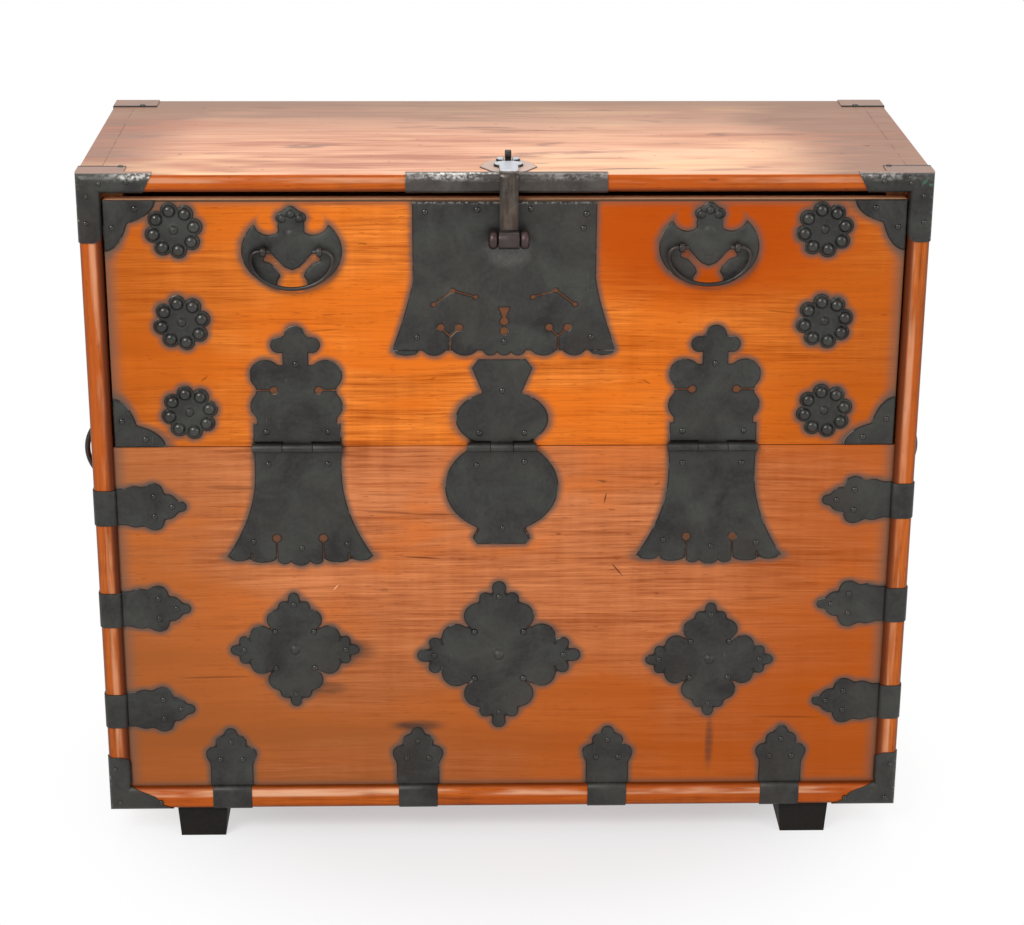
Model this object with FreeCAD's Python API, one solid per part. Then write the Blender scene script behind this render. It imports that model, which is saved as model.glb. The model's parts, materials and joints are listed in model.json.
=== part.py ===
import FreeCAD, Part
import math
import os

os.makedirs("parts", exist_ok=True)
V = FreeCAD.Vector

# Carcass: the working frame has y = 0 at the crown of the front edges and z = 0 on the floor
WIDTH = 915.0
DEPTH = 368.0
BODY_HEIGHT = 757.0
FOOT_HEIGHT = 38.0
SIDE_T = 24.0
TOP_T = 20.0
BOTTOM_T = 28.0
OUTER_ROUND = 7.0
RECESS = 6.0
PANEL_T = 20.0
BACK_T = 12.0
PANEL_TOP_SHARE = 0.5905
FINGERS = 9
BACK_PLANKS = 3
PLANK_GAP = 0.8

# Runners under the bottom board
RUNNER_IN = 105.5
RUNNER_TOP_W = 58.0
RUNNER_FOOT_W = 52.0
RUNNER_INSET = 8.0

# Door: a drop front on three hinges, shut against two battens
DOOR_T = 18.0
DOOR_LOW_GAP = 1.0
DOOR_TOP_GAP = 9.5
DOOR_SIDE_GAP = 2.2
MOVE_GAP = 0.3
STOP_W = 22.0
STOP_T = 16.0

# Iron: one sheet thickness, round nails left out
SHEET = 1.3
OVERRUN = 5.0
SLIT = 1.7
LOBE_SIDES = 8
OVAL_SIDES = 28
HOLE_SIDES = 6
BORE_SIDES = 8
ROD_SIDES = 6

# Hinges
KNUCKLE_R = 5.0
PIN_R = 1.8
PIN_FIT = 0.05
HINGE_SHARE = 0.5333
MIDDLE_HINGE_SHARE = -0.0093
HINGE_HALF = 50.0
MIDDLE_HALF = 38.5

# Fittings on the door: in from its ends, down from its top edge, or as shares of its half width
ROSETTE_DOWN = 33.0
ROSETTE_ROWS = 3
ROSETTE_PITCH_SHARE = 0.3692
ROSETTE_LEFT_IN = 79.3
ROSETTE_RIGHT_IN = 83.3
ROSETTE_LEAN = 4.5
BAIL_LEFT_SHARE = -0.5356
BAIL_LEFT_DOWN = 54.5
BAIL_RIGHT_SHARE = 0.5078
BAIL_RIGHT_DOWN = 50.5
LOCK_SHARE = -0.0046
HASP_SHARE = 0.0058

# Fittings on the panel and the frame, as shares of the panel's half width and of its top's height
DIAMOND_LEFT_SHARES = (-0.5513, 0.4497)
DIAMOND_MIDDLE_SHARES = (-0.015, 0.4318)
DIAMOND_RIGHT_SHARES = (0.5421, 0.4161)
STRAPS_LEFT_SHARES = (0.8434, 0.566, 0.2841)
STRAPS_RIGHT_SHARES = (0.8546, 0.5705, 0.2975)
BOTTOM_STRAP_SHARES = (-0.6907, -0.2186, 0.2623, 0.7038)
SIDE_BAIL_SHARE = 0.5694

# Hasp and staple
HASP_LONG = 70.0
HASP_BARREL_R = 10.5
HASP_BARREL_W = 22.5
HASP_EYE_W = 10.5
HASP_PIN_R = 4.0
HASP_STRAP_W = 20.0
HASP_STRAP_T = 5.5
HASP_ARM_T = 3.0
HASP_BEND_R = 9.0
HASP_TAIL = 62.0
HASP_NECK = 24.0
HASP_EAR_HALF = 16.0
HASP_EAR_R = 9.0
HASP_HORN_R = 6.5
HASP_CROWN_SHARE = 0.5
HASP_SLOT_START = 43.0
STAPLE_W = 7.0
STAPLE_D = 10.0
STAPLE_H = 15.0
STAPLE_Y = 50.0
STAPLE_HOLE_R = 2.6
STAPLE_SIDE_GAP = 1.0
REST_PLATE_HALF = 31.0
REST_PLATE_D = 66.0

# Front bails
BAIL_WIRE_R = 2.3
BAIL_HALF = 44.0
BAIL_DROP = 41.5
BAIL_ELBOW = 9.5
ELBOW_STEPS = 3
BAIL_STEPS = 6
BAIL_EYE_X = 30.0
BAIL_EYE_R = 5.4
BAIL_EYE_W = 6.0
BAIL_PROUD = 7.5
BAIL_END = 3.0
BAIL_FIT = 0.5

# Side handles
SIDE_WIRE_R = 3.2
SIDE_HALF = 58.0
SIDE_PROUD = 13.0
SIDE_LEAN = 30.0
SIDE_BACK = 30.0
SIDE_ARM = 43.0
ARM_STEPS = 5
SIDE_EYE_X = 46.0
SIDE_EYE_R = 7.0
SIDE_EYE_W = 8.0
SIDE_ROSE_R = 17.0
SIDE_ELBOW = 7.5
SIDE_BEND = 14.0

# Derived sizes
HALF_W = WIDTH / 2
BASE = FOOT_HEIGHT
TOP = FOOT_HEIGHT + BODY_HEIGHT
INNER_X = HALF_W - SIDE_T
PANEL_TOP = BODY_HEIGHT * PANEL_TOP_SHARE
PANEL_Z = BASE + PANEL_TOP
DOOR_Z0 = PANEL_Z + DOOR_LOW_GAP
DOOR_Z1 = TOP - TOP_T - DOOR_TOP_GAP
DOOR_HALF = INNER_X - DOOR_SIDE_GAP
DOOR_HEIGHT = DOOR_Z1 - DOOR_Z0
PLATE_FRONT = RECESS - SHEET
AXIS_Y = RECESS - KNUCKLE_R - MOVE_GAP
AXIS_Z = PANEL_Z + DOOR_LOW_GAP / 2
HASP_AXIS_Y = PLATE_FRONT - HASP_BARREL_R - MOVE_GAP
HASP_AXIS_Z = TOP - HASP_LONG
BAIL_Y = PLATE_FRONT - BAIL_PROUD
FRONT_REACH = HASP_BARREL_R - HASP_AXIS_Y
SHIFT_Y = (FRONT_REACH - DEPTH - SHEET) / 2
HINGE_X = DOOR_HALF * HINGE_SHARE
MIDDLE_HINGE_X = DOOR_HALF * MIDDLE_HINGE_SHARE
LOCK_X = DOOR_HALF * LOCK_SHARE
HASP_X = DOOR_HALF * HASP_SHARE
BAIL_LEFT = (DOOR_HALF * BAIL_LEFT_SHARE, DOOR_Z1 - BAIL_LEFT_DOWN)
BAIL_RIGHT = (DOOR_HALF * BAIL_RIGHT_SHARE, DOOR_Z1 - BAIL_RIGHT_DOWN)
SIDE_BAIL_Z = BASE + BODY_HEIGHT * SIDE_BAIL_SHARE


def box(x0, x1, y0, y1, z0, z1):
    return Part.makeBox(x1 - x0, y1 - y0, z1 - z0, V(x0, y0, z0))


def rod_x(x0, x1, y, z, r):
    return Part.makeCylinder(r, x1 - x0, V(x0, y, z), V(1, 0, 0))


def regular(r, sides):
    turn = 2 * math.pi / sides
    return [(r * math.cos(turn * (i + 0.5)), r * math.sin(turn * (i + 0.5))) for i in range(sides)]


def skinned(rings):
    # A solid of flat faces through rings of as many points each
    faces = [Part.Face(Part.makePolygon(ring + ring[:1])) for ring in (rings[0], rings[-1])]
    for low, high in zip(rings, rings[1:]):
        for k in range(len(low)):
            n = (k + 1) % len(low)
            faces.append(Part.Face(Part.makePolygon([low[k], low[n], high[n], low[k]])))
            faces.append(Part.Face(Part.makePolygon([low[k], high[n], high[k], low[k]])))
    solid = Part.Solid(Part.Shell(faces))
    if solid.Volume < 0:
        solid.reverse()
    return solid.removeSplitter()


def rounded(x, z, r, sides):
    # A small round cut by hand out of sheet iron, as a regular outline of a few straight snips
    return polygon([(x + u, z + v) for u, v in regular(r, sides)])


def disc(x, z, r):
    return rounded(x, z, r, LOBE_SIDES)


def eyelet(x, z, r):
    return rounded(x, z, r, HOLE_SIDES)


def oval(x, z, rx, rz, sides=OVAL_SIDES):
    turn = 2 * math.pi / sides
    return polygon([(x + rx * math.cos(turn * i), z + rz * math.sin(turn * i)) for i in range(sides)])


def polygon(points):
    corners = [V(x, 0, z) for x, z in points]
    return Part.Face(Part.makePolygon(corners + corners[:1]))


def pane(x0, x1, z0, z1):
    return polygon([(x0, z0), (x1, z0), (x1, z1), (x0, z1)])


def slit(x0, z0, x1, z1, width):
    length = math.hypot(x1 - x0, z1 - z0)
    dx, dz = (x1 - x0) / length * width / 2, (z1 - z0) / length * width / 2
    return polygon([(x0 - dz, z0 + dx), (x1 - dz, z1 + dx), (x1 + dz, z1 - dx), (x0 + dz, z0 - dx)])


def sheet(faces, holes, y_back, thickness):
    # A flat plate: every face pressed forward from y_back and joined, then the holes cut through
    solids = [face.extrude(V(0, -thickness, 0)) for face in faces]
    plate = solids[0].fuse(solids[1:]).removeSplitter() if len(solids) > 1 else solids[0]
    if holes:
        cutters = []
        for hole in holes:
            cutter = hole.extrude(V(0, -thickness - OVERRUN * 2, 0))
            cutter.translate(V(0, OVERRUN, 0))
            cutters.append(cutter)
        plate = plate.cut(cutters)
    plate.translate(V(0, y_back, 0))
    return one(plate)


def one(shape):
    solids = shape.removeSplitter().Solids
    return max(solids, key=lambda solid: solid.Volume)


def moved(shape, x, z):
    copy = shape.copy()
    copy.translate(V(x, 0, z))
    return copy


def mirrored(shape):
    return shape.mirror(V(0, 0, 0), V(1, 0, 0))


def ring(grow):
    # The four boards as one ring, grown by the sheet's thickness for the irons that wrap it
    outer = box(-HALF_W - grow, HALF_W + grow, -grow, DEPTH + grow, BASE - grow, TOP + grow)
    front = [e for e in outer.Edges if e.BoundBox.YMax < OVERRUN and e.BoundBox.YLength < SHEET]
    outer = outer.makeFillet(OUTER_ROUND + grow, front)
    hole = box(-INNER_X + grow, INNER_X - grow, -OVERRUN - grow, DEPTH + grow + OVERRUN,
               BASE + BOTTOM_T + grow, TOP - TOP_T - grow)
    frame = outer.cut(hole)
    rim = []
    for edge in frame.Edges:
        b = edge.BoundBox
        inside = max(abs(b.XMin), abs(b.XMax)) < HALF_W - OUTER_ROUND and b.ZMin > BASE + OUTER_ROUND
        if b.YMax < SHEET and b.YLength < SHEET and inside and b.ZMax < TOP - OUTER_ROUND:
            rim.append(edge)
    return frame.makeFillet(RECESS + grow, rim)


def finger_blocks(parity):
    width = DEPTH / FINGERS
    blocks = []
    for i in range(FINGERS):
        if i % 2 == parity:
            blocks.append(box(-HALF_W - OVERRUN, HALF_W + OVERRUN, width * i, width * (i + 1),
                              BASE - OVERRUN, TOP + OVERRUN))
    return blocks


def corner_zones():
    levels = [(TOP - TOP_T, TOP), (BASE, BASE + BOTTOM_T)]
    return [box(x, x + SIDE_T, 0, DEPTH, *level) for level in levels for x in (-HALF_W, INNER_X)]


def fingers(parity):
    zones = corner_zones()
    corners = zones[0].fuse(zones[1:])
    blocks = finger_blocks(parity)
    return corners.common(blocks[0].fuse(blocks[1:]))


def level_board(frame, z0, z1):
    zone = box(-HALF_W, HALF_W, 0, DEPTH, z0, z1)
    return one(frame.common(zone).cut(fingers(0)))


def side_board(frame, x0, x1):
    zone = box(x0, x1, 0, DEPTH, BASE, TOP)
    return one(frame.common(zone).cut(fingers(1)))


def front_panel():
    return box(-INNER_X, INNER_X, RECESS, RECESS + PANEL_T, BASE + BOTTOM_T, PANEL_Z)


def back_plank(index):
    low = BASE + BOTTOM_T
    span = (TOP - TOP_T - low + PLANK_GAP) / BACK_PLANKS
    z0 = low + span * index
    return box(-INNER_X, INNER_X, DEPTH - BACK_T, DEPTH, z0, z0 + span - PLANK_GAP)


def runner(side):
    x = side * (HALF_W - RUNNER_IN)
    front = polygon([(x - RUNNER_TOP_W / 2, BASE), (x + RUNNER_TOP_W / 2, BASE),
                     (x + RUNNER_FOOT_W / 2, 0), (x - RUNNER_FOOT_W / 2, 0)])
    solid = front.extrude(V(0, DEPTH - RUNNER_INSET * 2, 0))
    solid.translate(V(0, RUNNER_INSET, 0))
    return solid


def door_stop(side):
    y0 = RECESS + DOOR_T + MOVE_GAP
    stop = box(INNER_X - STOP_W, INNER_X, y0, y0 + STOP_T, PANEL_Z, TOP - TOP_T)
    return stop if side > 0 else mirrored(stop)


def door_board():
    return box(-DOOR_HALF, DOOR_HALF, RECESS, RECESS + DOOR_T, DOOR_Z0, DOOR_Z1)


# Irons that wrap the rounded edges of the carcass
IRON_DOWN = 75.0
IRON_ALONG = 80.0
IRON_LOW_UP = 68.0
IRON_LOW_ALONG = 77.0
IRON_TOP_W = 50.0
IRON_TOP_D = 35.0
REAR_W = 50.0
REAR_D = 34.0
SHEATH_HALF = 108.0
NOSE_WRAP = 9.0
IRON_SLANT = 12.0
IRON_END_IN = 9.0
IRON_END_DROP = 8.0
IRON_OGEE_SHARES = ((0.30, 1.0), (0.56, 0.72), (0.68, 0.57), (0.78, 0.26), (0.94, 0.0))


def wrap(skin, boxes):
    region = boxes[0].fuse(boxes[1:]) if len(boxes) > 1 else boxes[0]
    return one(skin.common(region))


def snipped(iron, corners):
    # A piece snipped off the end of a corner iron, seen from the front
    cutter = polygon(corners).extrude(V(0, OVERRUN + NOSE_WRAP * 2, 0))
    cutter.translate(V(0, -OVERRUN, 0))
    return one(iron.cut(cutter))


def round_end(z_end, z_in):
    # The inner corner of an arm on the post, taken off in two cuts
    x = -INNER_X + SHEET
    over = z_end + math.copysign(OVERRUN, z_end - z_in)
    return [(x - IRON_END_IN, z_end), (x - IRON_END_IN / 3, z_end + (z_in - z_end) / 3), (x, z_in),
            (x + OVERRUN, z_in), (x + OVERRUN, over), (x - IRON_END_IN, over)]


def top_corner_iron(skin):
    x0, z1 = -HALF_W - OVERRUN, TOP + OVERRUN
    iron = wrap(skin, [
        box(x0, -HALF_W + IRON_ALONG, -OVERRUN, NOSE_WRAP, TOP - TOP_T - SHEET, z1),
        box(x0, -INNER_X + SHEET, -OVERRUN, NOSE_WRAP, TOP - IRON_DOWN, z1),
        box(x0, -HALF_W + IRON_TOP_W, -OVERRUN, IRON_TOP_D, TOP, z1),
        box(x0, -HALF_W, -OVERRUN, IRON_TOP_D, TOP - IRON_TOP_W, z1)])
    x1, low = -HALF_W + IRON_ALONG, TOP - TOP_T - OVERRUN
    iron = snipped(iron, [(x1 - IRON_SLANT, low), (x1 + OVERRUN, low), (x1 + OVERRUN, TOP), (x1, TOP)])
    return snipped(iron, round_end(TOP - IRON_DOWN, TOP - IRON_DOWN + IRON_END_DROP))


def low_corner_iron(skin):
    # The arm along the bottom rail ends in an ogee
    x0, z0 = -HALF_W - OVERRUN, BASE - OVERRUN
    iron = wrap(skin, [
        box(x0, -HALF_W + IRON_LOW_ALONG, -OVERRUN, NOSE_WRAP, z0, BASE + BOTTOM_T + SHEET),
        box(x0, -INNER_X + SHEET, -OVERRUN, NOSE_WRAP, z0, BASE + IRON_LOW_UP),
        box(x0, -HALF_W, -OVERRUN, IRON_TOP_D, z0, BASE + IRON_TOP_W)])
    curve = [(-HALF_W + IRON_LOW_ALONG * u, BASE + (BOTTOM_T + SHEET) * v) for u, v in IRON_OGEE_SHARES]
    high, x1 = BASE + BOTTOM_T + OVERRUN, -HALF_W + IRON_LOW_ALONG + OVERRUN
    iron = snipped(iron, [(curve[0][0], high)] + curve + [(curve[-1][0], z0), (x1, z0), (x1, high)])
    return snipped(iron, round_end(BASE + IRON_LOW_UP, BASE + IRON_LOW_UP - IRON_END_DROP))


def rear_corner_iron(skin):
    return wrap(skin, [box(-HALF_W - OVERRUN, -HALF_W + REAR_W, DEPTH - REAR_D, DEPTH + OVERRUN,
                           TOP - REAR_W, TOP + OVERRUN)])


def top_edge_sheath(skin):
    low = TOP - TOP_T - SHEET
    return wrap(skin, [box(-SHEATH_HALF, SHEATH_HALF, -OVERRUN, OUTER_ROUND, low, TOP + OVERRUN)])


# Side strap: a band round the post's edge and a lobed leaf on the panel
STRAP_SIDE = 30.0
BAND_HALF = 21.0
STRAP_LEAF_HALF = 21.5
STRAP_LEAF = 78.0
STRAP_BODY_SHARE = 0.58
STRAP_LOBE_SHARES = ((0.27, 0.72, 0.39), (0.535, 0.78, 0.53), (0.757, 0.30, 0.35))
STRAP_TIP_SHARE = 0.28


def side_strap(skin, share):
    z = BASE + PANEL_TOP * share
    band = skin.common(box(-HALF_W - OVERRUN, -INNER_X + SHEET, -OVERRUN, STRAP_SIDE,
                           z - BAND_HALF, z + BAND_HALF))
    tip_r = STRAP_LEAF_HALF * STRAP_TIP_SHARE
    faces = [pane(0, STRAP_LEAF * STRAP_BODY_SHARE, -STRAP_LEAF_HALF, STRAP_LEAF_HALF),
             pane(0, STRAP_LEAF - tip_r, -tip_r, tip_r), disc(STRAP_LEAF - tip_r, 0, tip_r)]
    for along, off, size in STRAP_LOBE_SHARES:
        for side in (-1, 1):
            faces.append(disc(STRAP_LEAF * along, side * STRAP_LEAF_HALF * off, STRAP_LEAF_HALF * size))
    leaf = sheet(faces, [], RECESS, SHEET)
    return one(band.fuse(moved(leaf, -INNER_X, z)))


# Bottom strap: a band under the bottom board and a pointed leaf on the panel
FOOT_BAND_HALF = 22.5
FOOT_BAND_UNDER = 7.5
FOOT_LEAF_HALF = 24.5
FOOT_LEAF = 74.0
FOOT_BODY_SHARE = 0.55
FOOT_LOBE_SHARES = ((0.55, 0.78, 0.40), (0.77, 0.42, 0.29))
FOOT_TIP_SHARE = 0.29


def bottom_strap(skin, share):
    x = HALF_W * share
    band = skin.common(box(x - FOOT_BAND_HALF, x + FOOT_BAND_HALF, -OVERRUN, FOOT_BAND_UNDER,
                           BASE - OVERRUN, BASE + BOTTOM_T + SHEET))
    tip_r = FOOT_LEAF_HALF * FOOT_TIP_SHARE
    faces = [pane(-FOOT_LEAF_HALF, FOOT_LEAF_HALF, 0, FOOT_LEAF * FOOT_BODY_SHARE),
             pane(-tip_r, tip_r, 0, FOOT_LEAF - tip_r), disc(0, FOOT_LEAF - tip_r, tip_r)]
    for up, off, size in FOOT_LOBE_SHARES:
        for side in (-1, 1):
            faces.append(disc(side * FOOT_LEAF_HALF * off, FOOT_LEAF * up, FOOT_LEAF_HALF * size))
    leaf = sheet(faces, [], RECESS, SHEET)
    return one(band.fuse(moved(leaf, x, BASE + BOTTOM_T)))


# Stepped cloud diamond: every quadrant has a tip, a small lobe, two large lobes and a pierced slit
DIAMOND_HALF = (74.0, 71.0)
DIAMOND_BIG_HALF = (94.0, 92.0)
DIAMOND_CORE_SHARES = ((0.92, 0.0), (0.52, 0.25), (0.25, 0.53), (0.0, 0.92))
DIAMOND_LOBE_SHARES = ((0.0, 0.915, 0.085), (0.915, 0.0, 0.085), (0.165, 0.775, 0.075), (0.785, 0.165, 0.075),
                       (0.25, 0.53, 0.178), (0.52, 0.245, 0.178))
DIAMOND_HOLE_SHARES = (0.30, 0.32, 0.045)
DIAMOND_SLIT_SHARES = (0.40, 0.42)


def diamond(half_x, half_z, place_shares):
    size = (half_x + half_z) / 2
    core = [(half_x * u, half_z * v) for u, v in DIAMOND_CORE_SHARES]
    loop = core + [(-x, z) for x, z in reversed(core[:-1])]
    loop += [(-x, -z) for x, z in core[1:]] + [(x, -z) for x, z in reversed(core[1:-1])]
    faces = [polygon(loop)]
    holes = []
    for sx in (-1, 1):
        for sz in (-1, 1):
            for u, v, r in DIAMOND_LOBE_SHARES:
                faces.append(disc(sx * half_x * u, sz * half_z * v, size * r))
            u, v, r = DIAMOND_HOLE_SHARES
            su, sv = DIAMOND_SLIT_SHARES
            holes.append(eyelet(sx * half_x * u, sz * half_z * v, size * r))
            holes.append(slit(sx * half_x * u, sz * half_z * v, sx * half_x * su, sz * half_z * sv, SLIT))
    plate = sheet(faces, holes, RECESS, SHEET)
    return moved(plate, INNER_X * place_shares[0], BASE + PANEL_TOP * place_shares[1])


# Hinges: three knuckles on one pin, the outer two on the lower leaf
def knuckles(x, half, outer):
    third = half * 2 / 3
    spans = [(x - half, x - half + third), (x + half - third, x + half)] if outer else \
            [(x - half + third, x + half - third)]
    return [(a + MOVE_GAP / 2, b - MOVE_GAP / 2) for a, b in spans]


def knuckle(a, b):
    roll = rounded(0, 0, KNUCKLE_R, LOBE_SIDES).extrude(V(0, b - a, 0))
    roll.rotate(V(0, 0, 0), V(0, 0, 1), -90)
    roll.translate(V(a, AXIS_Y, AXIS_Z))
    return roll


def hinge_leaf(faces, holes, x, half, outer):
    # The leaf keeps clear of the other leaf's knuckles at every angle. The lower one carries the pin
    leaf = moved(sheet(faces, holes, RECESS, SHEET), x, AXIS_Z)
    reach = KNUCKLE_R + MOVE_GAP
    back, low, high = RECESS + OVERRUN, AXIS_Z - reach, AXIS_Z + reach
    leaf = leaf.cut([box(a - MOVE_GAP, b + MOVE_GAP, AXIS_Y - reach, back, low, high)
                     for a, b in knuckles(x, half, not outer)])
    web = AXIS_Z + (-SHEET if outer else DOOR_LOW_GAP / 2)
    rolls = []
    for a, b in knuckles(x, half, outer):
        rolls += [knuckle(a, b), box(a, b, AXIS_Y, RECESS, web, web + SHEET)]
    leaf = leaf.fuse(rolls)
    if outer:
        return one(leaf.fuse(rod_x(x - half, x + half, AXIS_Y, AXIS_Z, PIN_R)))
    return one(leaf.cut(rod_x(x - half, x + half, AXIS_Y, AXIS_Z, PIN_R + PIN_FIT)))


# Side hinges: a cloud-shaped upper leaf with a finial and a flared, scalloped lower leaf
LEAF_UP_HALF = 48.0
LEAF_UP_BODY = 95.0
LEAF_UP_WAIST = 44.0
LEAF_UP_FOOT = 27.0
LEAF_UP_LOBES = ((33.0, 83.5, 17.5), (33.0, 47.5, 17.5))
LEAF_UP_NECK = 14.0
LEAF_UP_FINIAL = 128.5
LEAF_UP_FINIAL_R = 11.5
LEAF_UP_FINIAL_SIDE = (18.0, 118.0, 9.0)
LEAF_UP_HOLE = (24.5, 66.0, 4.3)
LEAF_LOW_STRAIGHT = 32.0
LEAF_LOW_DEEP = 131.5
LEAF_LOW_TIP = 82.0
LEAF_LOW_CURVE_SHARE = 0.26
LEAF_LOW_SWELLS = ((68.0, 11.5, 5.0), (42.0, 16.0, 7.0), (18.0, 9.5, 9.0), (0.0, 12.5, 11.0))
SWELL_SIDES = 12
LEAF_LOW_HOLE = (26.0, 107.0, 4.8)


def flare(half_top, z_top, half_foot, z_foot, z_start, curve_share):
    # A plate with straight sides that sweep out in an arc to the tips
    mid_x = half_top + (half_foot - half_top) * curve_share
    mid_z = (z_start + z_foot) / 2
    right = Part.Arc(V(half_top, 0, z_start), V(mid_x, 0, mid_z), V(half_foot, 0, z_foot)).toShape()
    left = Part.Arc(V(-half_foot, 0, z_foot), V(-mid_x, 0, mid_z), V(-half_top, 0, z_start)).toShape()
    straight = [Part.makeLine(V(half_foot, 0, z_foot), V(-half_foot, 0, z_foot)),
                Part.makeLine(V(-half_top, 0, z_start), V(-half_top, 0, z_top)),
                Part.makeLine(V(-half_top, 0, z_top), V(half_top, 0, z_top)),
                Part.makeLine(V(half_top, 0, z_top), V(half_top, 0, z_start))]
    return Part.Face(Part.Wire([right, straight[0], left, straight[1], straight[2], straight[3]]))


def side_hinge_upper(x):
    low = DOOR_LOW_GAP / 2
    faces = [pane(-LEAF_UP_HALF, LEAF_UP_HALF, low, LEAF_UP_FOOT),
             pane(-LEAF_UP_WAIST, LEAF_UP_WAIST, low, LEAF_UP_LOBES[0][1]),
             pane(-LEAF_UP_LOBES[0][0], LEAF_UP_LOBES[0][0], low, LEAF_UP_BODY),
             pane(-LEAF_UP_NECK, LEAF_UP_NECK, low, LEAF_UP_FINIAL),
             disc(0, LEAF_UP_FINIAL, LEAF_UP_FINIAL_R)]
    faces += [disc(side * u, v, r) for u, v, r in LEAF_UP_LOBES + (LEAF_UP_FINIAL_SIDE,) for side in (-1, 1)]
    u, v, r = LEAF_UP_HOLE
    holes = []
    for side in (-1, 1):
        holes += [eyelet(side * u, v, r), slit(side * u, v, side * (LEAF_UP_WAIST + SLIT), v, SLIT)]
    return hinge_leaf(faces, holes, x, HINGE_HALF, False)


def side_hinge_lower(x):
    low = DOOR_LOW_GAP / 2
    faces = [flare(LEAF_UP_HALF, -low, LEAF_LOW_TIP, -LEAF_LOW_DEEP, -LEAF_LOW_STRAIGHT,
                   LEAF_LOW_CURVE_SHARE)]
    for u, half, drop in LEAF_LOW_SWELLS:
        faces += [oval(side * u, -LEAF_LOW_DEEP, half, drop, SWELL_SIDES) for side in (-1, 1)]
    u, v, r = LEAF_LOW_HOLE
    holes = []
    for side in (-1, 1):
        holes += [eyelet(side * u, -v, r), slit(side * u, -v, side * u, -LEAF_LOW_DEEP - OVERRUN * 2, SLIT)]
    return hinge_leaf(faces, holes, x, HINGE_HALF, True)


# Middle hinge: a gourd vase with a cupped lip above and a footed round belly below
VASE_LOCK_GAP = 4.5
VASE_LIP_HALF = 26.0
VASE_RIM_HALF = 33.0
VASE_NECK_HALF = 21.0
VASE_RIM_SHARE = 0.9
VASE_NECK_SHARE = 0.61
VASE_UP_HALF = 51.0
VASE_UP_SHARES = (0.317, 0.327)
VASE_LOW_OVAL = (63.5, 48.0, 54.0)
VASE_FOOT = ((26.0, 96.5), (32.5, 109.0), (27.0, 117.0))


def middle_hinge_upper(x):
    # Its height is what the lock plate leaves above the hinge line
    low = DOOR_LOW_GAP / 2
    top = DOOR_Z1 - LOCK_TOP_INSET - LOCK_LONG - VASE_LOCK_GAP - AXIS_Z
    cz, rz = [top * share for share in VASE_UP_SHARES]
    half = [(VASE_NECK_HALF, cz), (VASE_NECK_HALF, top * VASE_NECK_SHARE),
            (VASE_RIM_HALF, top * VASE_RIM_SHARE), (VASE_LIP_HALF, top)]
    cup = polygon(half + [(-u, v) for u, v in reversed(half)])
    belly = oval(0, cz, VASE_UP_HALF, rz).common(pane(-VASE_UP_HALF, VASE_UP_HALF, low, top))
    return hinge_leaf([cup] + belly.Faces, [], x, MIDDLE_HALF, False)


def middle_hinge_lower(x):
    low = DOOR_LOW_GAP / 2
    rx, cz, rz = VASE_LOW_OVAL
    foot = [(VASE_FOOT[0][0], -cz)] + [(u, -v) for u, v in VASE_FOOT]
    stand = polygon(foot + [(-u, v) for u, v in reversed(foot)])
    belly = oval(0, -cz, rx, rz).common(pane(-rx, rx, -cz - rz - OVERRUN, -low))
    return hinge_leaf([stand] + belly.Faces, [], x, MIDDLE_HALF, True)


# Ogee corner plates on the door
OGEE_LONG = 56.0
OGEE_SHORT = 28.0


def door_corner_plate(side, top):
    x0, x1 = (0, OGEE_LONG) if side < 0 else (-OGEE_LONG, 0)
    z0, z1 = (-OGEE_LONG, 0) if top else (0, OGEE_LONG)
    corner = pane(x0, x1, z0, z1)
    tall, wide = oval(0, 0, OGEE_SHORT, OGEE_LONG), oval(0, 0, OGEE_LONG, OGEE_SHORT)
    faces = tall.common(corner).Faces + wide.common(corner).Faces
    return moved(sheet(faces, [], RECESS, SHEET), side * DOOR_HALF, DOOR_Z1 if top else DOOR_Z0)


# Rosettes: a flower of eight raised bosses round a flat middle
ROSETTE_LOBES = 8
ROSETTE_R = 23.0
ROSETTE_LOBE_R = 8.4
ROSETTE_MIDDLE_R = 19.0
BOSS_TOP_SHARE = 0.55
BOSS_SIDES = 6
BOSS_H = 4.9
ROSETTE_TURN = 11.0


def boss(x, z):
    base = [V(x + u, RECESS, z + v) for u, v in regular(ROSETTE_LOBE_R, BOSS_SIDES)]
    top_r = ROSETTE_LOBE_R * BOSS_TOP_SHARE
    crown = [V(x + u, RECESS - BOSS_H, z + v) for u, v in regular(top_r, BOSS_SIDES)]
    return skinned([base, crown])


def rosette(x, z):
    bosses = []
    for i in range(ROSETTE_LOBES):
        angle = math.radians(360 / ROSETTE_LOBES * i + ROSETTE_TURN)
        bosses.append(boss(ROSETTE_R * math.cos(angle), ROSETTE_R * math.sin(angle)))
    flower = sheet([disc(0, 0, ROSETTE_MIDDLE_R)], [], RECESS, SHEET * 2).fuse(bosses)
    return moved(one(flower), x, z)


def rosette_column(x):
    # Down one end of the door, each a little further right than the one above
    made = []
    for i in range(ROSETTE_ROWS):
        z = DOOR_Z1 - ROSETTE_DOWN - DOOR_HEIGHT * ROSETTE_PITCH_SHARE * i
        made.append(rosette(x + ROSETTE_LEAN * (i - (ROSETTE_ROWS - 1) / 2), z))
    return made


# Bat-shaped plates behind the front bails
BAT_HALF = 54.0
BAT_RISE = 43.5
BAT_LOW = 1.5
BAT_SCOOP_SHARES = (0.444, 0.76, 0.385)
BAT_CROWN_Z = 33.5
BAT_CROWN_R = 13.0
BAT_CROWN_LOBES = ((0.0, 41.0, 7.2), (10.0, 35.5, 6.4), (8.0, 26.0, 6.4))
BAT_NECK = 14.0
BAT_CUT_SHARES = ((0.41, -0.09), (0.34, -0.18), (0.25, -0.32), (0.14, -0.45), (0.0, -0.52))
BAT_WING_SHARES = ((0.52, -0.10), (0.57, -0.28), (0.41, -0.36), (0.27, -0.55), (0.235, -0.68), (0.30, -0.80),
                   (0.33, -1.20))


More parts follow.
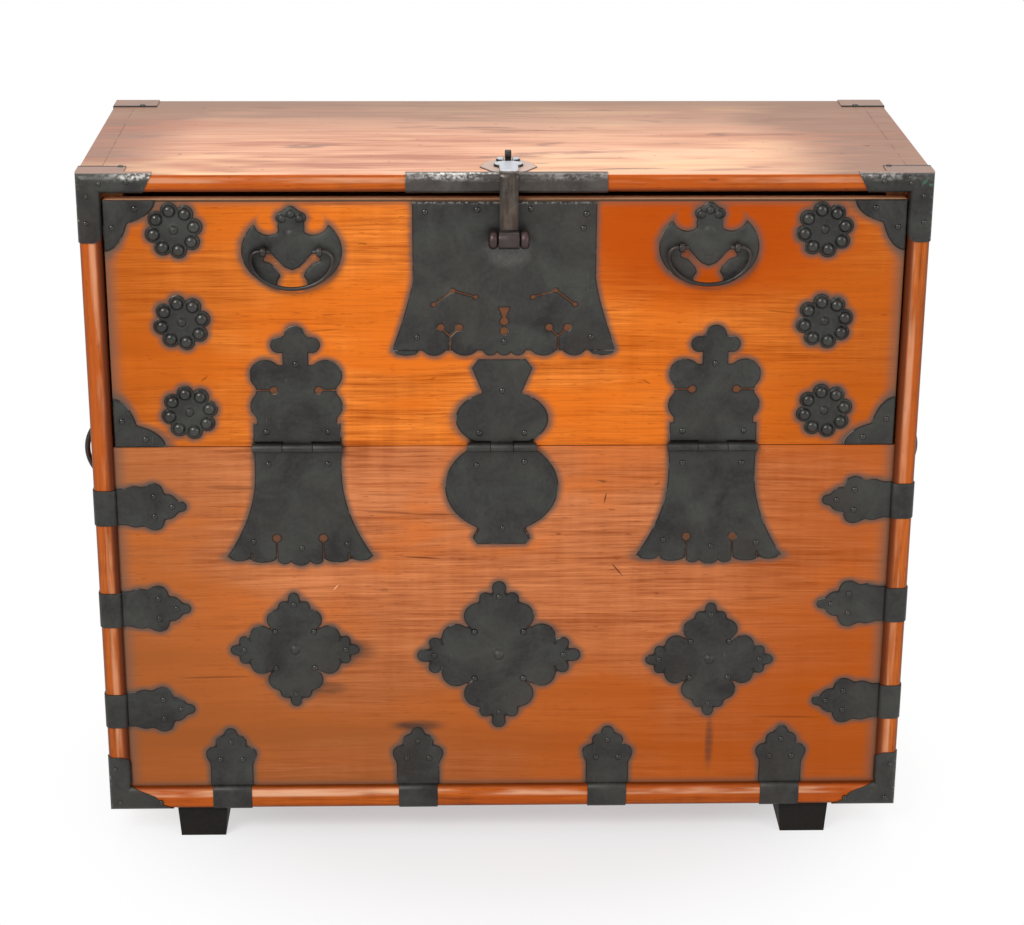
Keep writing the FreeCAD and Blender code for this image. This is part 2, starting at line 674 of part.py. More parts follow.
def bat_plate(place):
    body = oval(0, -BAT_LOW, BAT_HALF, BAT_RISE)
    u, v, r = BAT_SCOOP_SHARES
    scoops = [disc(side * BAT_HALF * u, BAT_RISE * v, BAT_RISE * r) for side in (-1, 1)]
    upper = [(BAT_HALF * a, BAT_RISE * b) for a, b in BAT_CUT_SHARES]
    lower = [(BAT_HALF * a, BAT_RISE * b) for a, b in BAT_WING_SHARES]
    loop = upper[::-1] + lower
    loop = loop + [(-x, z) for x, z in reversed(loop[1:])]
    body = body.cut(scoops + [polygon(loop)])
    crown = [disc(0, BAT_CROWN_Z, BAT_CROWN_R), pane(-BAT_NECK, BAT_NECK, 0, BAT_CROWN_Z)]
    crown += [disc(side * a, b, c) for a, b, c in BAT_CROWN_LOBES for side in (-1, 1)]
    return moved(sheet(body.Faces + crown, [], RECESS, SHEET), *place)


def prism_x(x0, x1, y, z, r, sides):
    rod = rounded(0, 0, r, sides).extrude(V(0, x1 - x0, 0))
    rod.rotate(V(0, 0, 0), V(0, 0, 1), -90)
    rod.translate(V(x0, y, z))
    return rod


def bore_corner(clear_r):
    # A bore forged with flats: the corner's radius at which the flats stand clear of the wire
    return clear_r / math.cos(math.pi / BORE_SIDES)


def bail_eye(place, side):
    # A forged eye on a square shank that stands on the plate
    x = place[0] + side * BAIL_EYE_X
    z = place[1]
    eye = prism_x(x - BAIL_EYE_W / 2, x + BAIL_EYE_W / 2, BAIL_Y, z, BAIL_EYE_R, BORE_SIDES)
    shank = box(x - BAIL_EYE_W / 2, x + BAIL_EYE_W / 2, BAIL_Y, PLATE_FRONT, z - BAIL_WIRE_R, z + BAIL_WIRE_R)
    bore = prism_x(x - BAIL_EYE_W, x + BAIL_EYE_W, BAIL_Y, z, bore_corner(BAIL_WIRE_R + BAIL_FIT), BORE_SIDES)
    return one(eye.fuse(shank).cut(bore))


def bent_rod(path, radius):
    # A rod along a path of short straight steps, with a mitred many-sided section at each step
    count = len(path)
    steps = [(path[i + 1] - path[i]).normalize() for i in range(count - 1)]
    across = steps[0].cross(V(0, 0, 1)).normalize()
    rings = []
    for i in range(count):
        before, after = steps[max(i - 1, 0)], steps[min(i, count - 2)]
        plane = (before + after).normalize()
        across = (across - before * across.dot(before)).normalize()
        upward = before.cross(across)
        points = []
        for k in range(ROD_SIDES):
            angle = 2 * math.pi * k / ROD_SIDES
            offset = across * (radius * math.cos(angle)) + upward * (radius * math.sin(angle))
            points.append(path[i] + offset - before * (offset.dot(plane) / before.dot(plane)))
        rings.append(points)
    return skinned(rings)


def bail_curve():
    # Offsets from the pivot line of one half: an elbow of a quarter turn, then a quarter oval
    points = []
    bend = BAIL_HALF - BAIL_ELBOW
    for i in range(ELBOW_STEPS + 1):
        t = math.pi / 2 * i / ELBOW_STEPS
        points.append((bend + BAIL_ELBOW * math.sin(t), -BAIL_ELBOW + BAIL_ELBOW * math.cos(t)))
    depth = BAIL_DROP - BAIL_ELBOW
    for i in range(1, BAIL_STEPS + 1):
        t = math.pi / 2 * i / BAIL_STEPS
        points.append((BAIL_HALF * math.cos(t), -BAIL_ELBOW - depth * math.sin(t)))
    return points


def bail(place):
    # Straight ends through the eyes, then one bent rod
    x, z = place
    inner = BAIL_EYE_X - BAIL_EYE_W / 2 - BAIL_END
    half = bail_curve()
    outline = half + [(-u, v) for u, v in reversed(half[:-1])]
    outline = [(inner, 0)] + outline + [(-inner, 0)]
    return bent_rod([V(x + u, BAIL_Y, z + v) for u, v in outline], BAIL_WIRE_R)


# Lock plate: a flared, scalloped bell with pierced brows, tree holes and a gourd hole
LOCK_HALF = 99.0
LOCK_TOP_INSET = 2.0
LOCK_STRAIGHT = 89.0
LOCK_FOOT_HALF = 122.5
LOCK_SCALLOP = 6.0
LOCK_LONG = 172.5
LOCK_CURVE_SHARE = 0.40
LOCK_LOBES = ((0.0, 9.0), (15.0, 9.0), (43.0, 18.0), (76.5, 16.0))
LOCK_TOE_HALVES = (92.5, 97.0, 107.0, 117.0, 122.5)
LOCK_TOE_SHARES = (1.0, 0.25, 0.0, 0.25, 1.0)
LOCK_TREE = (59.0, 10.0, 32.0, 4.2)
LOCK_TREE_FORK = 22.0
LOCK_BROW = ((77.0, 58.0), (56.0, 74.0), (31.0, 66.5))
LOCK_DOT_R = 2.6
LOCK_GOURD = 39.0
LOCK_GOURD_R = 4.6
LOCK_GOURD_CUP = (6.3, 55.0)
LOCK_DROP = 28.0


def lock_plate():
    # Measured up from its foot
    faces = [flare(LOCK_HALF, LOCK_LONG, LOCK_FOOT_HALF, LOCK_SCALLOP, LOCK_STRAIGHT, LOCK_CURVE_SHARE)]
    for side in (-1, 1):
        faces += [disc(side * u, r, r) for u, r in LOCK_LOBES]
        toe = zip(LOCK_TOE_HALVES, LOCK_TOE_SHARES)
        faces.append(polygon([(side * u, LOCK_SCALLOP * v) for u, v in toe]))
    x, spread, up, r = LOCK_TREE
    holes = []
    for side in (-1, 1):
        holes.append(slit(side * x, 0, side * x, LOCK_TREE_FORK, SLIT))
        for arm in (-1, 1):
            holes.append(eyelet(side * (x + arm * spread), up, r))
            holes.append(slit(side * x, LOCK_TREE_FORK, side * (x + arm * spread), up, SLIT))
        spots = [(side * u, v) for u, v in LOCK_BROW]
        holes += [eyelet(u, v, LOCK_DOT_R) for u, v in spots]
        holes += [slit(*spots[0], *spots[1], SLIT), slit(*spots[1], *spots[2], SLIT)]
    cup, cup_up = LOCK_GOURD_CUP
    holes += [eyelet(0, LOCK_GOURD, LOCK_GOURD_R), eyelet(0, LOCK_DROP, LOCK_GOURD_R),
              polygon([(-cup, cup_up), (cup, cup_up), (0, LOCK_GOURD)])]
    return moved(sheet(faces, holes, RECESS, SHEET), LOCK_X, DOOR_Z1 - LOCK_TOP_INSET - LOCK_LONG)


def lock_eyes():
    # Two thick rings on short feet, riveted to one pin
    reach = HASP_BARREL_W / 2 + MOVE_GAP + HASP_EYE_W
    pieces = [rod_x(HASP_X - reach, HASP_X + reach, HASP_AXIS_Y, HASP_AXIS_Z, HASP_PIN_R)]
    for side in (-1, 1):
        x = HASP_X + side * (HASP_BARREL_W / 2 + MOVE_GAP)
        a, b = min(x, x + side * HASP_EYE_W), max(x, x + side * HASP_EYE_W)
        pieces.append(prism_x(a, b, HASP_AXIS_Y, HASP_AXIS_Z, HASP_BARREL_R, OVAL_SIDES // 2))
        pieces.append(box(a, b, HASP_AXIS_Y, PLATE_FRONT, HASP_AXIS_Z - HASP_PIN_R, HASP_AXIS_Z + HASP_PIN_R))
    return one(pieces[0].fuse(pieces[1:]))


def flat_disc(x, y, z, r):
    # A disc of the hasp's tail, level on the top board
    loop = [V(x + u, y + v, z) for u, v in regular(r, OVAL_SIDES // 2)]
    return Part.Face(Part.makePolygon(loop + loop[:1])).extrude(V(0, 0, HASP_ARM_T))


def hasp():
    # Barrel, half-round strap up the front, a bend over the edge and a forked, eared tail on the top
    back = -SHEET - MOVE_GAP
    front = back - HASP_STRAP_T
    under = TOP + SHEET + MOVE_GAP
    over = under + HASP_ARM_T
    half = HASP_STRAP_W / 2
    bend = HASP_BEND_R * (1 - math.sqrt(0.5))
    side = Part.Face(Part.Wire([
        Part.makeLine(V(0, back, HASP_AXIS_Z), V(0, front, HASP_AXIS_Z)),
        Part.makeLine(V(0, front, HASP_AXIS_Z), V(0, front, over - HASP_BEND_R)),
        Part.Arc(V(0, front, over - HASP_BEND_R), V(0, front + bend, over - bend),
                 V(0, front + HASP_BEND_R, over)).toShape(),
        Part.makeLine(V(0, front + HASP_BEND_R, over), V(0, HASP_NECK + HASP_EAR_R, over)),
        Part.makeLine(V(0, HASP_NECK + HASP_EAR_R, over), V(0, HASP_NECK + HASP_EAR_R, under)),
        Part.makeLine(V(0, HASP_NECK + HASP_EAR_R, under), V(0, back, under)),
        Part.makeLine(V(0, back, under), V(0, back, HASP_AXIS_Z))]))
    body = side.extrude(V(HASP_STRAP_W, 0, 0))
    body.translate(V(HASP_X - half, 0, 0))
    sagitta = HASP_STRAP_T * HASP_CROWN_SHARE
    crown_r = (half * half + sagitta * sagitta) / (2 * sagitta)
    height = TOP - HASP_AXIS_Z + HASP_BEND_R * 2
    crown = Part.makeCylinder(crown_r, height, V(HASP_X, front + crown_r, HASP_AXIS_Z - OVERRUN))
    rim = box(HASP_X - half, HASP_X + half, front, back, HASP_AXIS_Z - OVERRUN, over + OVERRUN).cut(crown)
    body = body.cut(rim)
    tail = [box(HASP_X - HASP_EAR_HALF + HASP_EAR_R, HASP_X + HASP_EAR_HALF - HASP_EAR_R,
                HASP_NECK, HASP_TAIL, under, over)]
    for s in (-1, 1):
        x = HASP_X + s * (HASP_EAR_HALF - HASP_EAR_R)
        tail.append(flat_disc(x, HASP_NECK + HASP_EAR_R, under, HASP_EAR_R))
        x = HASP_X + s * (HASP_EAR_HALF - HASP_HORN_R - HASP_ARM_T)
        tail.append(flat_disc(x, HASP_TAIL - HASP_HORN_R, under, HASP_HORN_R))
    body = body.fuse(tail)
    slot = STAPLE_W / 2 + STAPLE_SIDE_GAP
    body = body.cut(box(HASP_X - slot, HASP_X + slot, HASP_SLOT_START, HASP_TAIL + OVERRUN,
                        under - OVERRUN, over + OVERRUN))
    barrel = prism_x(HASP_X - HASP_BARREL_W / 2, HASP_X + HASP_BARREL_W / 2, HASP_AXIS_Y, HASP_AXIS_Z,
                     HASP_BARREL_R, OVAL_SIDES // 2)
    bore = rod_x(HASP_X - HASP_EAR_HALF, HASP_X + HASP_EAR_HALF, HASP_AXIS_Y, HASP_AXIS_Z,
                 HASP_PIN_R + PIN_FIT)
    return one(body.fuse(barrel).cut(bore))


REST_WING_SHARES = ((0.40, 0.0), (0.62, 0.06), (1.0, 0.36), (0.86, 0.62), (0.55, 0.80), (0.30, 1.0))


def hasp_rest_plate():
    half = [(REST_PLATE_HALF * u, REST_PLATE_D * v) for u, v in REST_WING_SHARES]
    loop = half + [(-x, y) for x, y in reversed(half)]
    flat = Part.Face(Part.makePolygon([V(HASP_X + x, OUTER_ROUND + y, TOP) for x, y in loop + loop[:1]]))
    plate = flat.extrude(V(0, 0, SHEET))
    hole = box(HASP_X - STAPLE_W / 2, HASP_X + STAPLE_W / 2, STAPLE_Y - STAPLE_D / 2, STAPLE_Y + STAPLE_D / 2,
               TOP - OVERRUN, TOP + OVERRUN)
    return one(plate.cut(hole))


def hasp_staple():
    x0, x1 = HASP_X - STAPLE_W / 2, HASP_X + STAPLE_W / 2
    r = STAPLE_D / 2
    z = TOP + STAPLE_H - r
    post = box(x0, x1, STAPLE_Y - r, STAPLE_Y + r, TOP, z)
    head = prism_x(x0, x1, STAPLE_Y, z, r, LOBE_SIDES)
    bore = rod_x(x0 - OVERRUN, x1 + OVERRUN, STAPLE_Y, z, STAPLE_HOLE_R)
    return one(post.fuse(head).cut(bore))


# Side handles, made on the left and mirrored
def side_rose(end):
    rose = disc(0, 0, SIDE_ROSE_R).extrude(V(0, -SHEET, 0))
    rose.rotate(V(0, 0, 0), V(0, 0, 1), -90)
    rose.translate(V(-HALF_W, DEPTH / 2 + end * SIDE_EYE_X, SIDE_BAIL_Z))
    return rose


def side_eye(end):
    y = DEPTH / 2 + end * SIDE_EYE_X
    x = -HALF_W - SIDE_PROUD
    z = SIDE_BAIL_Z
    eye = rounded(x, z, SIDE_EYE_R, BORE_SIDES).extrude(V(0, SIDE_EYE_W, 0))
    eye.translate(V(0, y - SIDE_EYE_W / 2, 0))
    shank = box(x, -HALF_W - SHEET, y - SIDE_EYE_W / 2, y + SIDE_EYE_W / 2, z - SIDE_WIRE_R, z + SIDE_WIRE_R)
    bore = rounded(x, z, bore_corner(SIDE_WIRE_R + BAIL_FIT), BORE_SIDES).extrude(V(0, SIDE_EYE_W * 2, 0))
    bore.translate(V(0, y - SIDE_EYE_W, 0))
    return one(eye.fuse(shank).cut(bore))


def side_bail_curve():
    # Half of the hanging handle as (outward, along, down): an elbow, an arm that swells outward and
    # curves back in, and a bend into the grip
    points = []
    lean, back = math.radians(SIDE_LEAN), math.radians(SIDE_BACK)
    bend = SIDE_HALF - SIDE_ELBOW
    for i in range(ELBOW_STEPS + 1):
        t = math.pi / 2 * i / ELBOW_STEPS
        drop = SIDE_ELBOW * (1 - math.cos(t))
        points.append((drop * math.sin(lean), bend + SIDE_ELBOW * math.sin(t), drop * math.cos(lean)))
    out, along, down = points[-1]
    arm_r = SIDE_ARM / (math.sin(lean) + math.sin(back))
    for i in range(1, ARM_STEPS + 1):
        t = lean - (lean + back) * i / ARM_STEPS
        swell, fall = arm_r * (math.cos(t) - math.cos(lean)), arm_r * (math.sin(lean) - math.sin(t))
        points.append((out + swell, along, down + fall))
    out, along, down = points[-1]
    for i in range(1, ELBOW_STEPS + 1):
        t = math.pi / 2 * i / ELBOW_STEPS
        reach, inward = SIDE_BEND * math.sin(t), SIDE_BEND * (1 - math.cos(t))
        points.append((out - reach * math.sin(back), along - inward, down + reach * math.cos(back)))
    return points


def side_bail():
    x = -HALF_W - SIDE_PROUD
    z = SIDE_BAIL_Z
    mid = DEPTH / 2
    half = side_bail_curve()
    outline = half + [(u, -v, w) for u, v, w in reversed(half)]
    inner = SIDE_EYE_X - SIDE_EYE_W / 2 - BAIL_END
    outline = [(0, inner, 0)] + outline + [(0, -inner, 0)]
    return bent_rod([V(x - u, mid + v, z - w) for u, v, w in outline], SIDE_WIRE_R)


def build():
    frame = ring(0)
    skin = ring(SHEET).cut(frame)
    skin = skin.cut(box(-INNER_X, INNER_X, RECESS, DEPTH + OVERRUN, BASE + BOTTOM_T, TOP - TOP_T))
    nodes = {
        "top_board": [level_board(frame, TOP - TOP_T, TOP)],
        "bottom_board": [level_board(frame, BASE, BASE + BOTTOM_T)],
        "side_board_left": [side_board(frame, -HALF_W, -INNER_X)],
        "side_board_right": [side_board(frame, INNER_X, HALF_W)],
        "front_panel": [front_panel()],
        "back_plank_lower": [back_plank(0)],
        "back_plank_middle": [back_plank(1)],
        "back_plank_upper": [back_plank(2)],
        "runner_left": [runner(-1)],
        "runner_right": [runner(1)],
        "door_stop_left": [door_stop(-1)],
        "door_stop_right": [door_stop(1)],
        "corner_iron_top_left": [top_corner_iron(skin)],
        "corner_iron_top_right": [mirrored(top_corner_iron(skin))],
        "corner_iron_bottom_left": [low_corner_iron(skin)],
        "corner_iron_bottom_right": [mirrored(low_corner_iron(skin))],
        "rear_corner_irons": [rear_corner_iron(skin), mirrored(rear_corner_iron(skin))],
        "top_edge_sheath": [top_edge_sheath(skin)],
        "side_straps_left": [side_strap(skin, share) for share in STRAPS_LEFT_SHARES],
        "side_straps_right": [mirrored(side_strap(skin, share)) for share in STRAPS_RIGHT_SHARES],
        "bottom_straps": [bottom_strap(skin, share) for share in BOTTOM_STRAP_SHARES],
        "diamond_left": [diamond(*DIAMOND_HALF, DIAMOND_LEFT_SHARES)],
        "diamond_middle": [diamond(*DIAMOND_BIG_HALF, DIAMOND_MIDDLE_SHARES)],
        "diamond_right": [diamond(*DIAMOND_HALF, DIAMOND_RIGHT_SHARES)],
        "hinge_left_lower": [side_hinge_lower(-HINGE_X)],
        "hinge_middle_lower": [middle_hinge_lower(MIDDLE_HINGE_X)],
        "hinge_right_lower": [side_hinge_lower(HINGE_X)],
        "door_board": [door_board()],
        "hinge_left_upper": [side_hinge_upper(-HINGE_X)],
        "hinge_middle_upper": [middle_hinge_upper(MIDDLE_HINGE_X)],
        "hinge_right_upper": [side_hinge_upper(HINGE_X)],
        "door_corner_plates": [door_corner_plate(side, top) for side in (-1, 1) for top in (True, False)],
        "rosettes_left": rosette_column(ROSETTE_LEFT_IN - DOOR_HALF),
        "rosettes_right": rosette_column(DOOR_HALF - ROSETTE_RIGHT_IN),
        "bail_plate_left": [bat_plate(BAIL_LEFT)],
        "bail_plate_right": [bat_plate(BAIL_RIGHT)],
        "bail_eyes_left": [bail_eye(BAIL_LEFT, -1), bail_eye(BAIL_LEFT, 1)],
        "bail_eyes_right": [bail_eye(BAIL_RIGHT, -1), bail_eye(BAIL_RIGHT, 1)],
        "bail_left": [bail(BAIL_LEFT)],
        "bail_right": [bail(BAIL_RIGHT)],
        "lock_plate": [lock_plate()],
        "lock_eyes": [lock_eyes()],
        "hasp": [hasp()],
        "hasp_rest_plate": [hasp_rest_plate()],
        "hasp_staple": [hasp_staple()],
        "side_handle_roses_left": [side_rose(-1), side_rose(1)],
        "side_handle_roses_right": [mirrored(side_rose(-1)), mirrored(side_rose(1))],
        "side_handle_eyes_left": [side_eye(-1), side_eye(1)],
        "side_handle_eyes_right": [mirrored(side_eye(-1)), mirrored(side_eye(1))],
        "side_bail_left": [side_bail()],
        "side_bail_right": [mirrored(side_bail())],
    }
    for name, solids in nodes.items():
        shape = solids[0] if len(solids) == 1 else Part.makeCompound(solids)
        shape.translate(V(0, SHIFT_Y, 0))
        shape.exportStep("parts/" + name + ".step")


build()
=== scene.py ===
"""The looks of an old drop-front chest: oiled wood, cut sheet iron, forged handles and hasp."""

import json
import math

import bpy
import numpy as np
from mathutils import Matrix, Vector


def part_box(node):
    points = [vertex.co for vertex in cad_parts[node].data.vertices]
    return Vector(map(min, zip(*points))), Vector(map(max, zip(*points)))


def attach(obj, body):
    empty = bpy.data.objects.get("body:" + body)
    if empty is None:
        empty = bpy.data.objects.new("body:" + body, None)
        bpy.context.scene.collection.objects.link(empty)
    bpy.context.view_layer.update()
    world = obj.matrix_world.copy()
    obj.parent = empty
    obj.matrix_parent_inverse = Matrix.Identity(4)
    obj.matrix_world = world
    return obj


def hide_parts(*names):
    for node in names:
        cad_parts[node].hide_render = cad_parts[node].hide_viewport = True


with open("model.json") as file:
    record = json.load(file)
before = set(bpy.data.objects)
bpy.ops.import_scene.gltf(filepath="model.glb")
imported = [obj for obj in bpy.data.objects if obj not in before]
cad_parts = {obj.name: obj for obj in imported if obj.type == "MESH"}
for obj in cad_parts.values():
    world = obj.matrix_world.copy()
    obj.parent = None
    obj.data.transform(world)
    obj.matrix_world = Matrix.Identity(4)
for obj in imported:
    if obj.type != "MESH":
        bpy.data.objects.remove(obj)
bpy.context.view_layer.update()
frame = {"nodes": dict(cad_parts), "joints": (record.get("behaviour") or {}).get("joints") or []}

MM = 0.001
RIGHT = np.array([1.0, 0.0, 0.0])
BACKWARD = np.array([0.0, 1.0, 0.0])
UP = np.array([0.0, 0.0, 1.0])


def mm(*sizes):
    """Millimetres as metres, also inside tuples."""
    return tuple(mm(*size) if isinstance(size, tuple) else size * MM for size in sizes)


# Places read from the frame
JOINTS = {joint["name"]: joint for joint in frame["joints"]}
AXIS = np.array(JOINTS["door_drop"]["pos_m"])
HASP_AXIS = np.array(JOINTS["hasp_lift"]["pos_m"])
DOOR_LO, DOOR_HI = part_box("door_board")
PANEL_LO, PANEL_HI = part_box("front_panel")
POST_LO, POST_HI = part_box("side_board_left")
TOP_LO, TOP_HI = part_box("top_board")
FLOOR_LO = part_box("bottom_board")[0]
FACE_Y = DOOR_LO.y
EDGE_Y = POST_LO.y
INNER_X = -POST_HI.x
OUTER_X = -POST_LO.x
TOP_Z = TOP_HI.z
BASE_Z = FLOOR_LO.z
DEPTH = TOP_HI.y - TOP_LO.y

# Sheet iron
SHEET = 1.3 * MM
EDGE_WEAR = 0.55 * MM
EDGE_LINE = 1.5 * MM
BEATEN = 0.10 * MM
BEATEN_PITCH = 23 * MM
FINE_STEP = 1.0 * MM
SLIDES = 4
SLIDE_SHARE = 0.8
PROBE_SHARE = 0.05
LEAST_STEEP = 0.3
NAIL_R = 3.4 * MM
NAIL_H = 1.9 * MM
NAIL_RINGS = 5
NAIL_SIDES = 14
RING_W = 1.3 * MM
RING_H = 0.5 * MM
CORNER_NAIL_R = NAIL_R * 0.85

# Rods and rings
ROD_SIDES = 20
RING_SIDES = 40
KNUCKLE_SIDES = 28
CREASE = math.radians(40)

# Boards drawn as fine grids, so that the stains round the irons follow their outlines
BOARD_STEP = 3.0 * MM
BOARD_EDGE = 1.2 * MM
BOARD_EDGE_SHARE = 0.7
STAIN_REACH = 10 * MM
# Reach of the painted shade along the frame's edges
CORNER_SHADE_REACH = 18 * MM


# Signed distances in a plate's own plane: negative inside, zero on the outline

def disc(u, v, cu, cv, r):
    """Distance to the middle less the radius."""
    return np.hypot(u - cu, v - cv) - r


def block(u, v, u0, u1, v0, v1):
    """The largest of the four distances beyond the sides."""
    return np.maximum(np.maximum(u0 - u, u - u1), np.maximum(v0 - v, v - v1))


def oval(u, v, cu, cv, ru, rv):
    """A unit circle's distance after both directions are divided by their radii, times the smaller one."""
    return (np.hypot((u - cu) / ru, (v - cv) / rv) - 1) * min(ru, rv)


def bar(u, v, a, b, width):
    """Distance to the nearest point of a straight line between a and b, less half the width."""
    eu, ev = b[0] - a[0], b[1] - a[1]
    t = np.clip(((u - a[0]) * eu + (v - a[1]) * ev) / (eu * eu + ev * ev), 0, 1)
    return np.hypot(u - a[0] - t * eu, v - a[1] - t * ev) - width / 2


def outline(u, v, corners):
    """Least distance to any side of a straight-sided outline, negative where a level line out of the
    point crosses the sides an odd number of times."""
    best = np.full(np.shape(u), np.inf)
    inside = np.zeros(np.shape(u), bool)
    for a, b in zip(corners, corners[1:] + corners[:1]):
        best = np.minimum(best, bar(u, v, a, b, 0))
        rise = b[1] - a[1]
        crosses = (a[1] > v) != (b[1] > v)
        inside ^= crosses & (u < a[0] + (v - a[1]) * (b[0] - a[0]) / (rise if rise else 1))
    return np.where(inside, -best, best)


def soft(a, b, reach):
    """The lesser of two distances, rounded off over the reach where they are nearly equal."""
    h = np.clip(0.5 + 0.5 * (b - a) / reach, 0, 1)
    return b + (a - b) * h - reach * h * (1 - h)


def joined(*fields):
    """The least of the distances."""
    return np.minimum.reduce(fields)


def cut(body, *holes):
    """The greatest of the body's distance and the holes' with their signs turned."""
    return np.maximum.reduce([body] + [-hole for hole in holes])


# Heights over a plate's plane

def dome(distance, radius):
    """One less the square of the distance over the radius, and 0 beyond the radius."""
    return 1 - np.clip(distance / radius, 0, 1) ** 2


def edge_drop(depth, reach):
    """How far a rounded edge lies below the face: a quarter circle over the reach."""
    t = np.clip(depth / reach, 0, 1)
    return reach * (1 - np.sqrt(1 - (1 - t) ** 2))


def beaten(u, v):
    """Low swells of hand-beaten sheet: two crossed waves that drift against each other."""
    a = np.sin(u / BEATEN_PITCH * 5.1 + 1.7 * np.sin(v / BEATEN_PITCH * 1.9))
    b = np.sin(v / BEATEN_PITCH * 4.3 + 1.3 * np.sin(u / BEATEN_PITCH * 2.3))
    return BEATEN * a * b


def sheet_relief(u, v, depth):
    """Beaten sheet with a rounded edge."""
    return SHEET - edge_drop(depth, EDGE_WEAR) + beaten(u, v) * np.clip(depth / EDGE_WEAR, 0, 1)


def studded_relief(u, v, depth, round_r, round_h, ring_r):
    """Sheet with a half-round stud in the middle and a faint ring round it."""
    radius = np.hypot(u, v)
    return (sheet_relief(u, v, depth) + round_h * np.sqrt(dome(radius, round_r))
            + RING_H * dome(np.abs(radius - ring_r), RING_W))


# Outlines of plates as signed distances, without holes where pierced is False

CORE_SHARES = ((0.92, 0.0), (0.52, 0.25), (0.25, 0.53), (0.0, 0.92))
TIP_SHARES = ((0.0, 0.915, 0.085), (0.915, 0.0, 0.085), (0.165, 0.775, 0.075), (0.785, 0.165, 0.075))
CLOUD_SHARES = ((0.25, 0.53, 0.178), (0.52, 0.245, 0.178))
EYE_SHARES = (0.30, 0.32, 0.032)
EYE_SLIT_SHARES = (0.42, 0.44)
SLIT = 1.7 * MM
MELT = 2.0 * MM
FULL_MELT = 7.0 * MM


def cloud_diamond(half_u, half_v):
    """One quadrant of tips and cloud lobes round a stepped core, folded over both middle lines."""
    size = (half_u + half_v) / 2

    def field(u, v, pierced=True):
        u, v = np.abs(u), np.abs(v)
        inward = (-0.3 * half_u, -0.3 * half_v)
        steps = [(half_u * a, half_v * b) for a, b in CORE_SHARES]
        core = [inward, (steps[0][0], inward[1])] + steps + [(inward[0], steps[-1][1])]
        body = outline(u, v, core)
        for a, b, r in CLOUD_SHARES:
            body = soft(body, disc(u, v, half_u * a, half_v * b, size * r), MELT)
        for a, b, r in TIP_SHARES:
            body = soft(body, disc(u, v, half_u * a, half_v * b, size * r), FULL_MELT)
        a, b, r = EYE_SHARES
        c, d = EYE_SLIT_SHARES
        eye = disc(u, v, half_u * a, half_v * b, size * r)
        slit = bar(u, v, (half_u * a, half_v * b), (half_u * c, half_v * d), SLIT * 0.6)
        return cut(body, eye, slit) if pierced else body

    return field


LEAF_HALF, LEAF_BODY, LEAF_WAIST, LEAF_FOOT = mm(48, 95, 44, 27)
LEAF_LOBES = mm((33, 83.5, 17.5), (33, 47.5, 17.5))
LEAF_NECK, LEAF_FINIAL, FINIAL_R = mm(14, 128.5, 11.5)
FINIAL_SIDE = mm(18, 118, 9)
LEAF_EYE = mm(24.5, 66, 4.3)
KNUCKLE_R = 5.0 * MM
KNUCKLE_EDGE = 0.6 * MM
KNUCKLE_GAP = 0.3 * MM
LEAF_GAP = 0.5 * MM


def cloud_leaf(u, v, pierced=True):
    """Upper hinge leaf: stacked cloud lobes and a three-lobed finial, with an eye and slit at each side."""
    u = np.abs(u)
    body = joined(block(u, v, -1, LEAF_HALF, LEAF_GAP, LEAF_FOOT),
                  block(u, v, -1, LEAF_WAIST, LEAF_GAP, LEAF_LOBES[0][1]),
                  block(u, v, -1, LEAF_LOBES[0][0], LEAF_GAP, LEAF_BODY),
                  block(u, v, -1, LEAF_NECK, LEAF_GAP, LEAF_FINIAL),
                  disc(u, v, 0, LEAF_FINIAL, FINIAL_R))
    for a, b, r in LEAF_LOBES + (FINIAL_SIDE,):
        body = soft(body, disc(u, v, a, b, r), MELT)
    a, b, r = LEAF_EYE
    if pierced:
        body = cut(body, disc(u, v, a, b, r), bar(u, v, (a, b), (LEAF_HALF * 2, b), SLIT))
    return body


BELL_STRAIGHT, BELL_DEEP, BELL_TIP, BELL_CURVE_SHARE = 32 * MM, 131.5 * MM, 82 * MM, 0.26
BELL_SWELLS = mm((68, 11.5, 5), (42, 16, 7), (18, 9.5, 9), (0.0, 12.5, 11))
BELL_EYE = mm(26, 109, 4.8)
BELL_NICKS = mm((54.5, 4))
FLARE_STEPS = 14


def flare(half, top, foot_half, foot, start, share):
    """Outline of a bell from its middle to the right: a straight side, then a sweep whose reach grows with
    the power of the way down that passes the given share at half way."""
    power = math.log(share) / math.log(0.5)
    down = np.linspace(0, 1, FLARE_STEPS)
    reach = half + (foot_half - half) * down ** power
    drop = start + (foot - start) * down
    return [(-half, top), (half, top)] + [(float(a), float(b)) for a, b in zip(reach, drop)] + [(-half, foot)]


def bell_leaf(u, v, pierced=True):
    """Lower hinge leaf: a flared bell with a wavy foot, short nicks between the waves."""
    u = np.abs(u)
    body = outline(u, v, flare(LEAF_HALF, -LEAF_GAP, BELL_TIP, -BELL_DEEP, -BELL_STRAIGHT, BELL_CURVE_SHARE))
    for a, half, drop in BELL_SWELLS:
        body = joined(body, oval(u, v, a, -BELL_DEEP, half, drop))
    if pierced:
        a, b, r = BELL_EYE
        body = cut(body, disc(u, v, a, -b, r), bar(u, v, (a, -b), (a, -BELL_DEEP * 2), SLIT * 0.6))
        for a, rise in BELL_NICKS:
            body = cut(body, bar(u, v, (a, -BELL_DEEP * 1.2), (a, rise - BELL_DEEP), SLIT * 0.6))
    return body


VASE_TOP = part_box("hinge_middle_upper")[1].z - AXIS[2]
VASE_LIP, VASE_RIM, VASE_NECK = mm(26, 33, 21)
VASE_RIM_SHARE, VASE_NECK_SHARE = 0.9, 0.61
VASE_UP_HALF, VASE_UP_SHARES = 51 * MM, (0.317, 0.327)
VASE_LOW_OVAL = mm(63, 48, 54)
VASE_FOOT = mm((26, 96.5), (32.5, 109), (27, 117))
VASE_NICK = mm((25.5, -99.5), (31, -108.5))


